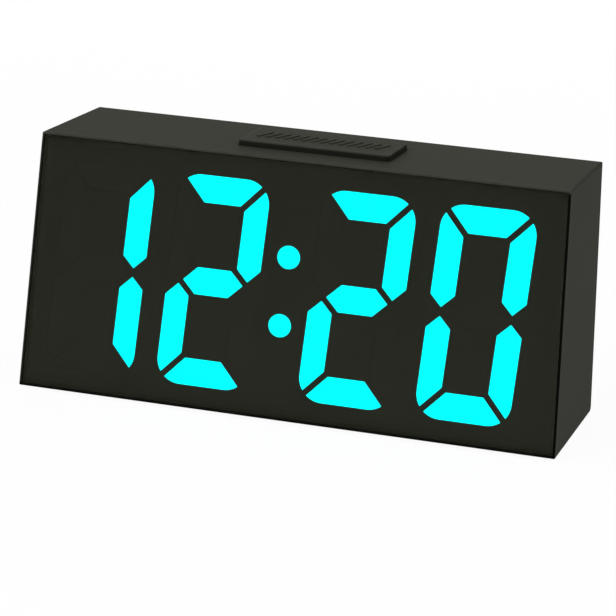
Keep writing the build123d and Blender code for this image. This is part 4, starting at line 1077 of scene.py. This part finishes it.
def coil(base, along, length, radius, tip_radius, turns, settings):
    """A round wire wound from a base place, along X or Z, with its end turns laid flat.

    The wire's middle is at (reach * cos(turn), reach * sin(turn), height). The reach goes evenly
    from radius to tip_radius. The height goes from the wire's radius to that much short of the
    length. It stays level over the flat share at each end, and between them it rises by s
    blended with 3 * s^2 - 2 * s^3, which eases in and out.
    """
    share = np.linspace(0, 1, int(turns * RINGS_PER_TURN))
    turn = tau * turns * share
    inner = np.clip((share - FLAT_SHARE) / (1 - 2 * FLAT_SHARE), 0, 1)
    rise = (1 - EASE_SHARE) * inner + EASE_SHARE * (3 * inner**2 - 2 * inner**3)
    reach = radius + (tip_radius - radius) * share
    wire = settings.wire
    height = wire + (length - 2 * wire) * rise
    middle = np.stack([reach * np.cos(turn), reach * np.sin(turn), height], axis=1)
    forward = np.gradient(middle, axis=0)
    forward /= np.linalg.norm(forward, axis=1)[:, None]
    outward = np.stack([np.cos(turn), np.sin(turn), np.zeros_like(turn)], axis=1)
    outward -= forward * np.sum(outward * forward, axis=1)[:, None]
    outward /= np.linalg.norm(outward, axis=1)[:, None]
    other = np.cross(forward, outward)
    angle = np.linspace(0, tau, RING_SIDES, endpoint=False)[None, :, None]
    ring_points = outward[:, None, :] * np.cos(angle) + other[:, None, :] * np.sin(angle)
    points = (middle[:, None, :] + wire * ring_points).reshape(-1, 3)
    if along[0]:
        points = points[:, [2, 0, 1]] * (along[0], along[0], 1)
    return points + np.array(base), tube_faces(len(share), RING_SIDES, False)


class CLOCK_OT_springs(bpy.types.Operator):
    """Wind the cell springs and the two springs under the snooze bar"""

    bl_idname = "clock.springs"
    bl_label = "Springs"

    def execute(self, context):
        settings = context.scene.clock_springs
        self.wind_cell_springs(settings)
        self.wind_bar_springs(settings)
        return {"FINISHED"}

    def wind_cell_springs(self, settings):
        low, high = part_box("battery_springs")
        along = (low.y + high.y) / 2
        radius = (high.y - low.y) / 2 - settings.wire
        tip = radius * (1 - settings.taper)
        outer = radius + settings.wire
        bases = {1: (low.x, along, high.z - outer), -1: (high.x, along, low.z + outer)}
        parts = [
            coil(
                base, (way, 0, 0), CELL_SPRING_LENGTH, radius, tip,
                settings.cell_turns, settings,
            )
            for way, base in bases.items()
        ]
        build_piece(
            "cell_springs", parts, "case", "nickel_plate", ["battery_springs"]
        )

    def wind_bar_springs(self, settings):
        low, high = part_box("snooze_springs")
        along = (low.y + high.y) / 2
        radius = (high.y - low.y) / 2 - settings.wire
        outer = radius + settings.wire
        parts = [
            coil(
                (across, along, low.z), (0, 0, 1), high.z - low.z, radius, radius,
                settings.bar_turns, settings,
            )
            for across in (low.x + outer, high.x - outer)
        ]
        piece = build_piece(
            "bar_springs", parts, "case", "nickel_plate", ["snooze_springs"]
        )
        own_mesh(piece)


class CLOCK_OT_stage(bpy.types.Operator):
    """Lay the floor, set the lamps and place the camera"""

    bl_idname = "clock.stage"
    bl_label = "Stage"

    def execute(self, context):
        settings = context.scene.clock_stage
        self.lay_floor(settings)
        self.light_surroundings(settings)
        for name, (place, size) in LAMPS.items():
            lamp = self.hang_lamp(f"{name}_lamp", place, size, getattr(settings, name))
            lamp.visible_glossy = name != "back"
        camera = bpy.data.objects.new("camera", bpy.data.cameras.new("camera"))
        context.scene.collection.objects.link(camera)
        camera.location = settings.eye
        camera.rotation_euler = settings.turn
        camera.data.lens = settings.focal_length
        camera.data.clip_start = 0.01
        context.scene.camera = camera
        context.scene.view_settings.view_transform = "Standard"
        return {"FINISHED"}

    def lay_floor(self, settings):
        reach = settings.floor_reach
        corners = [(x * reach, y * reach, 0.0) for x, y in CORNER_SIGNS]
        mesh = bpy.data.meshes.new("floor")
        mesh.from_pydata(corners, [], [(0, 1, 2, 3)])
        floor = bpy.data.objects.new("floor", mesh)
        bpy.context.scene.collection.objects.link(floor)
        recipe = Recipe("pale_floor")
        matt = recipe.node("ShaderNodeBsdfDiffuse", None, {"Color": opaque(settings.floor)})
        white = recipe.node("ShaderNodeEmission", None, {"Color": (1, 1, 1, 1)})
        seen = seen_directly(recipe) * settings.floor_glow
        shader = recipe.node("ShaderNodeMixShader", None, {0: seen, 1: matt, 2: white})
        recipe.node("ShaderNodeOutputMaterial", None, {"Surface": shader})
        mesh.materials.append(recipe.material)

    def light_surroundings(self, settings):
        world = bpy.data.worlds.new("surroundings")
        recipe = Recipe(owner=world)
        seen = seen_directly(recipe)
        strength = settings.surroundings + (1.0 - settings.surroundings) * seen
        values = {"Color": (1, 1, 1, 1), "Strength": strength}
        glow = recipe.node("ShaderNodeBackground", None, values)
        recipe.node("ShaderNodeOutputWorld", None, {"Surface": glow})
        bpy.context.scene.world = world

    def hang_lamp(self, name, place, size, power):
        """A square lamp turned towards the middle of the clock."""
        lamp = bpy.data.lights.new(name, "AREA")
        lamp.shape = "SQUARE"
        lamp.size = size
        lamp.energy = power
        holder = bpy.data.objects.new(name, lamp)
        bpy.context.scene.collection.objects.link(holder)
        holder.location = place
        middle = (SHELL_LOW + SHELL_HIGH) / 2
        holder.rotation_euler = (middle - holder.location).to_track_quat("-Z", "Y").to_euler()
        return holder


def seen_directly(recipe):
    """1 for camera, glossy and transmitted rays, and 0 for those that only light the clock."""
    path = recipe.node("ShaderNodeLightPath").socket.node.outputs
    kinds = ("Is Camera Ray", "Is Glossy Ray", "Is Transmission Ray")
    camera, glossy, passed = [Wire(recipe, path[kind]) for kind in kinds]
    return camera.most(glossy).most(passed)


class CLOCK_PT_panel(bpy.types.Panel):
    """Lists the clock's operators and settings"""

    bl_label = "Desk Clock"
    bl_idname = "CLOCK_PT_panel"
    bl_space_type = "VIEW_3D"
    bl_region_type = "UI"
    bl_category = "Clock"

    def draw(self, context):
        for operator in OPERATORS:
            self.layout.operator(operator.bl_idname)
        for name, settings in SETTINGS.items():
            box = self.layout.box()
            for field in settings.__annotations__:
                box.prop(getattr(context.scene, name), field)


SETTINGS = {
    "clock_housing": HousingSettings,
    "clock_lens": LensSettings,
    "clock_display": DisplaySettings,
    "clock_signs": SignSettings,
    "clock_springs": SpringSettings,
    "clock_stage": StageSettings,
}
OPERATORS = (
    CLOCK_OT_housing,
    CLOCK_OT_feet,
    CLOCK_OT_lens,
    CLOCK_OT_display,
    CLOCK_OT_controls,
    CLOCK_OT_metal,
    CLOCK_OT_inside,
    CLOCK_OT_border,
    CLOCK_OT_signs,
    CLOCK_OT_springs,
    CLOCK_OT_stage,
)


def register():
    for made in (*SETTINGS.values(), *OPERATORS, CLOCK_PT_panel):
        bpy.utils.register_class(made)
    for name, settings in SETTINGS.items():
        setattr(bpy.types.Scene, name, PointerProperty(type=settings))


def unregister():
    for name in SETTINGS:
        delattr(bpy.types.Scene, name)
    for made in reversed((*SETTINGS.values(), *OPERATORS, CLOCK_PT_panel)):
        bpy.utils.unregister_class(made)


def main():
    register()
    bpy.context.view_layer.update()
    bpy.ops.clock.housing()
    bpy.ops.clock.feet()
    bpy.ops.clock.lens()
    bpy.ops.clock.display()
    bpy.ops.clock.controls()
    bpy.ops.clock.metal()
    bpy.ops.clock.inside()
    bpy.ops.clock.border()
    bpy.ops.clock.signs()
    bpy.ops.clock.springs()
    bpy.ops.clock.stage()


if __name__ == "__main__":
    main()
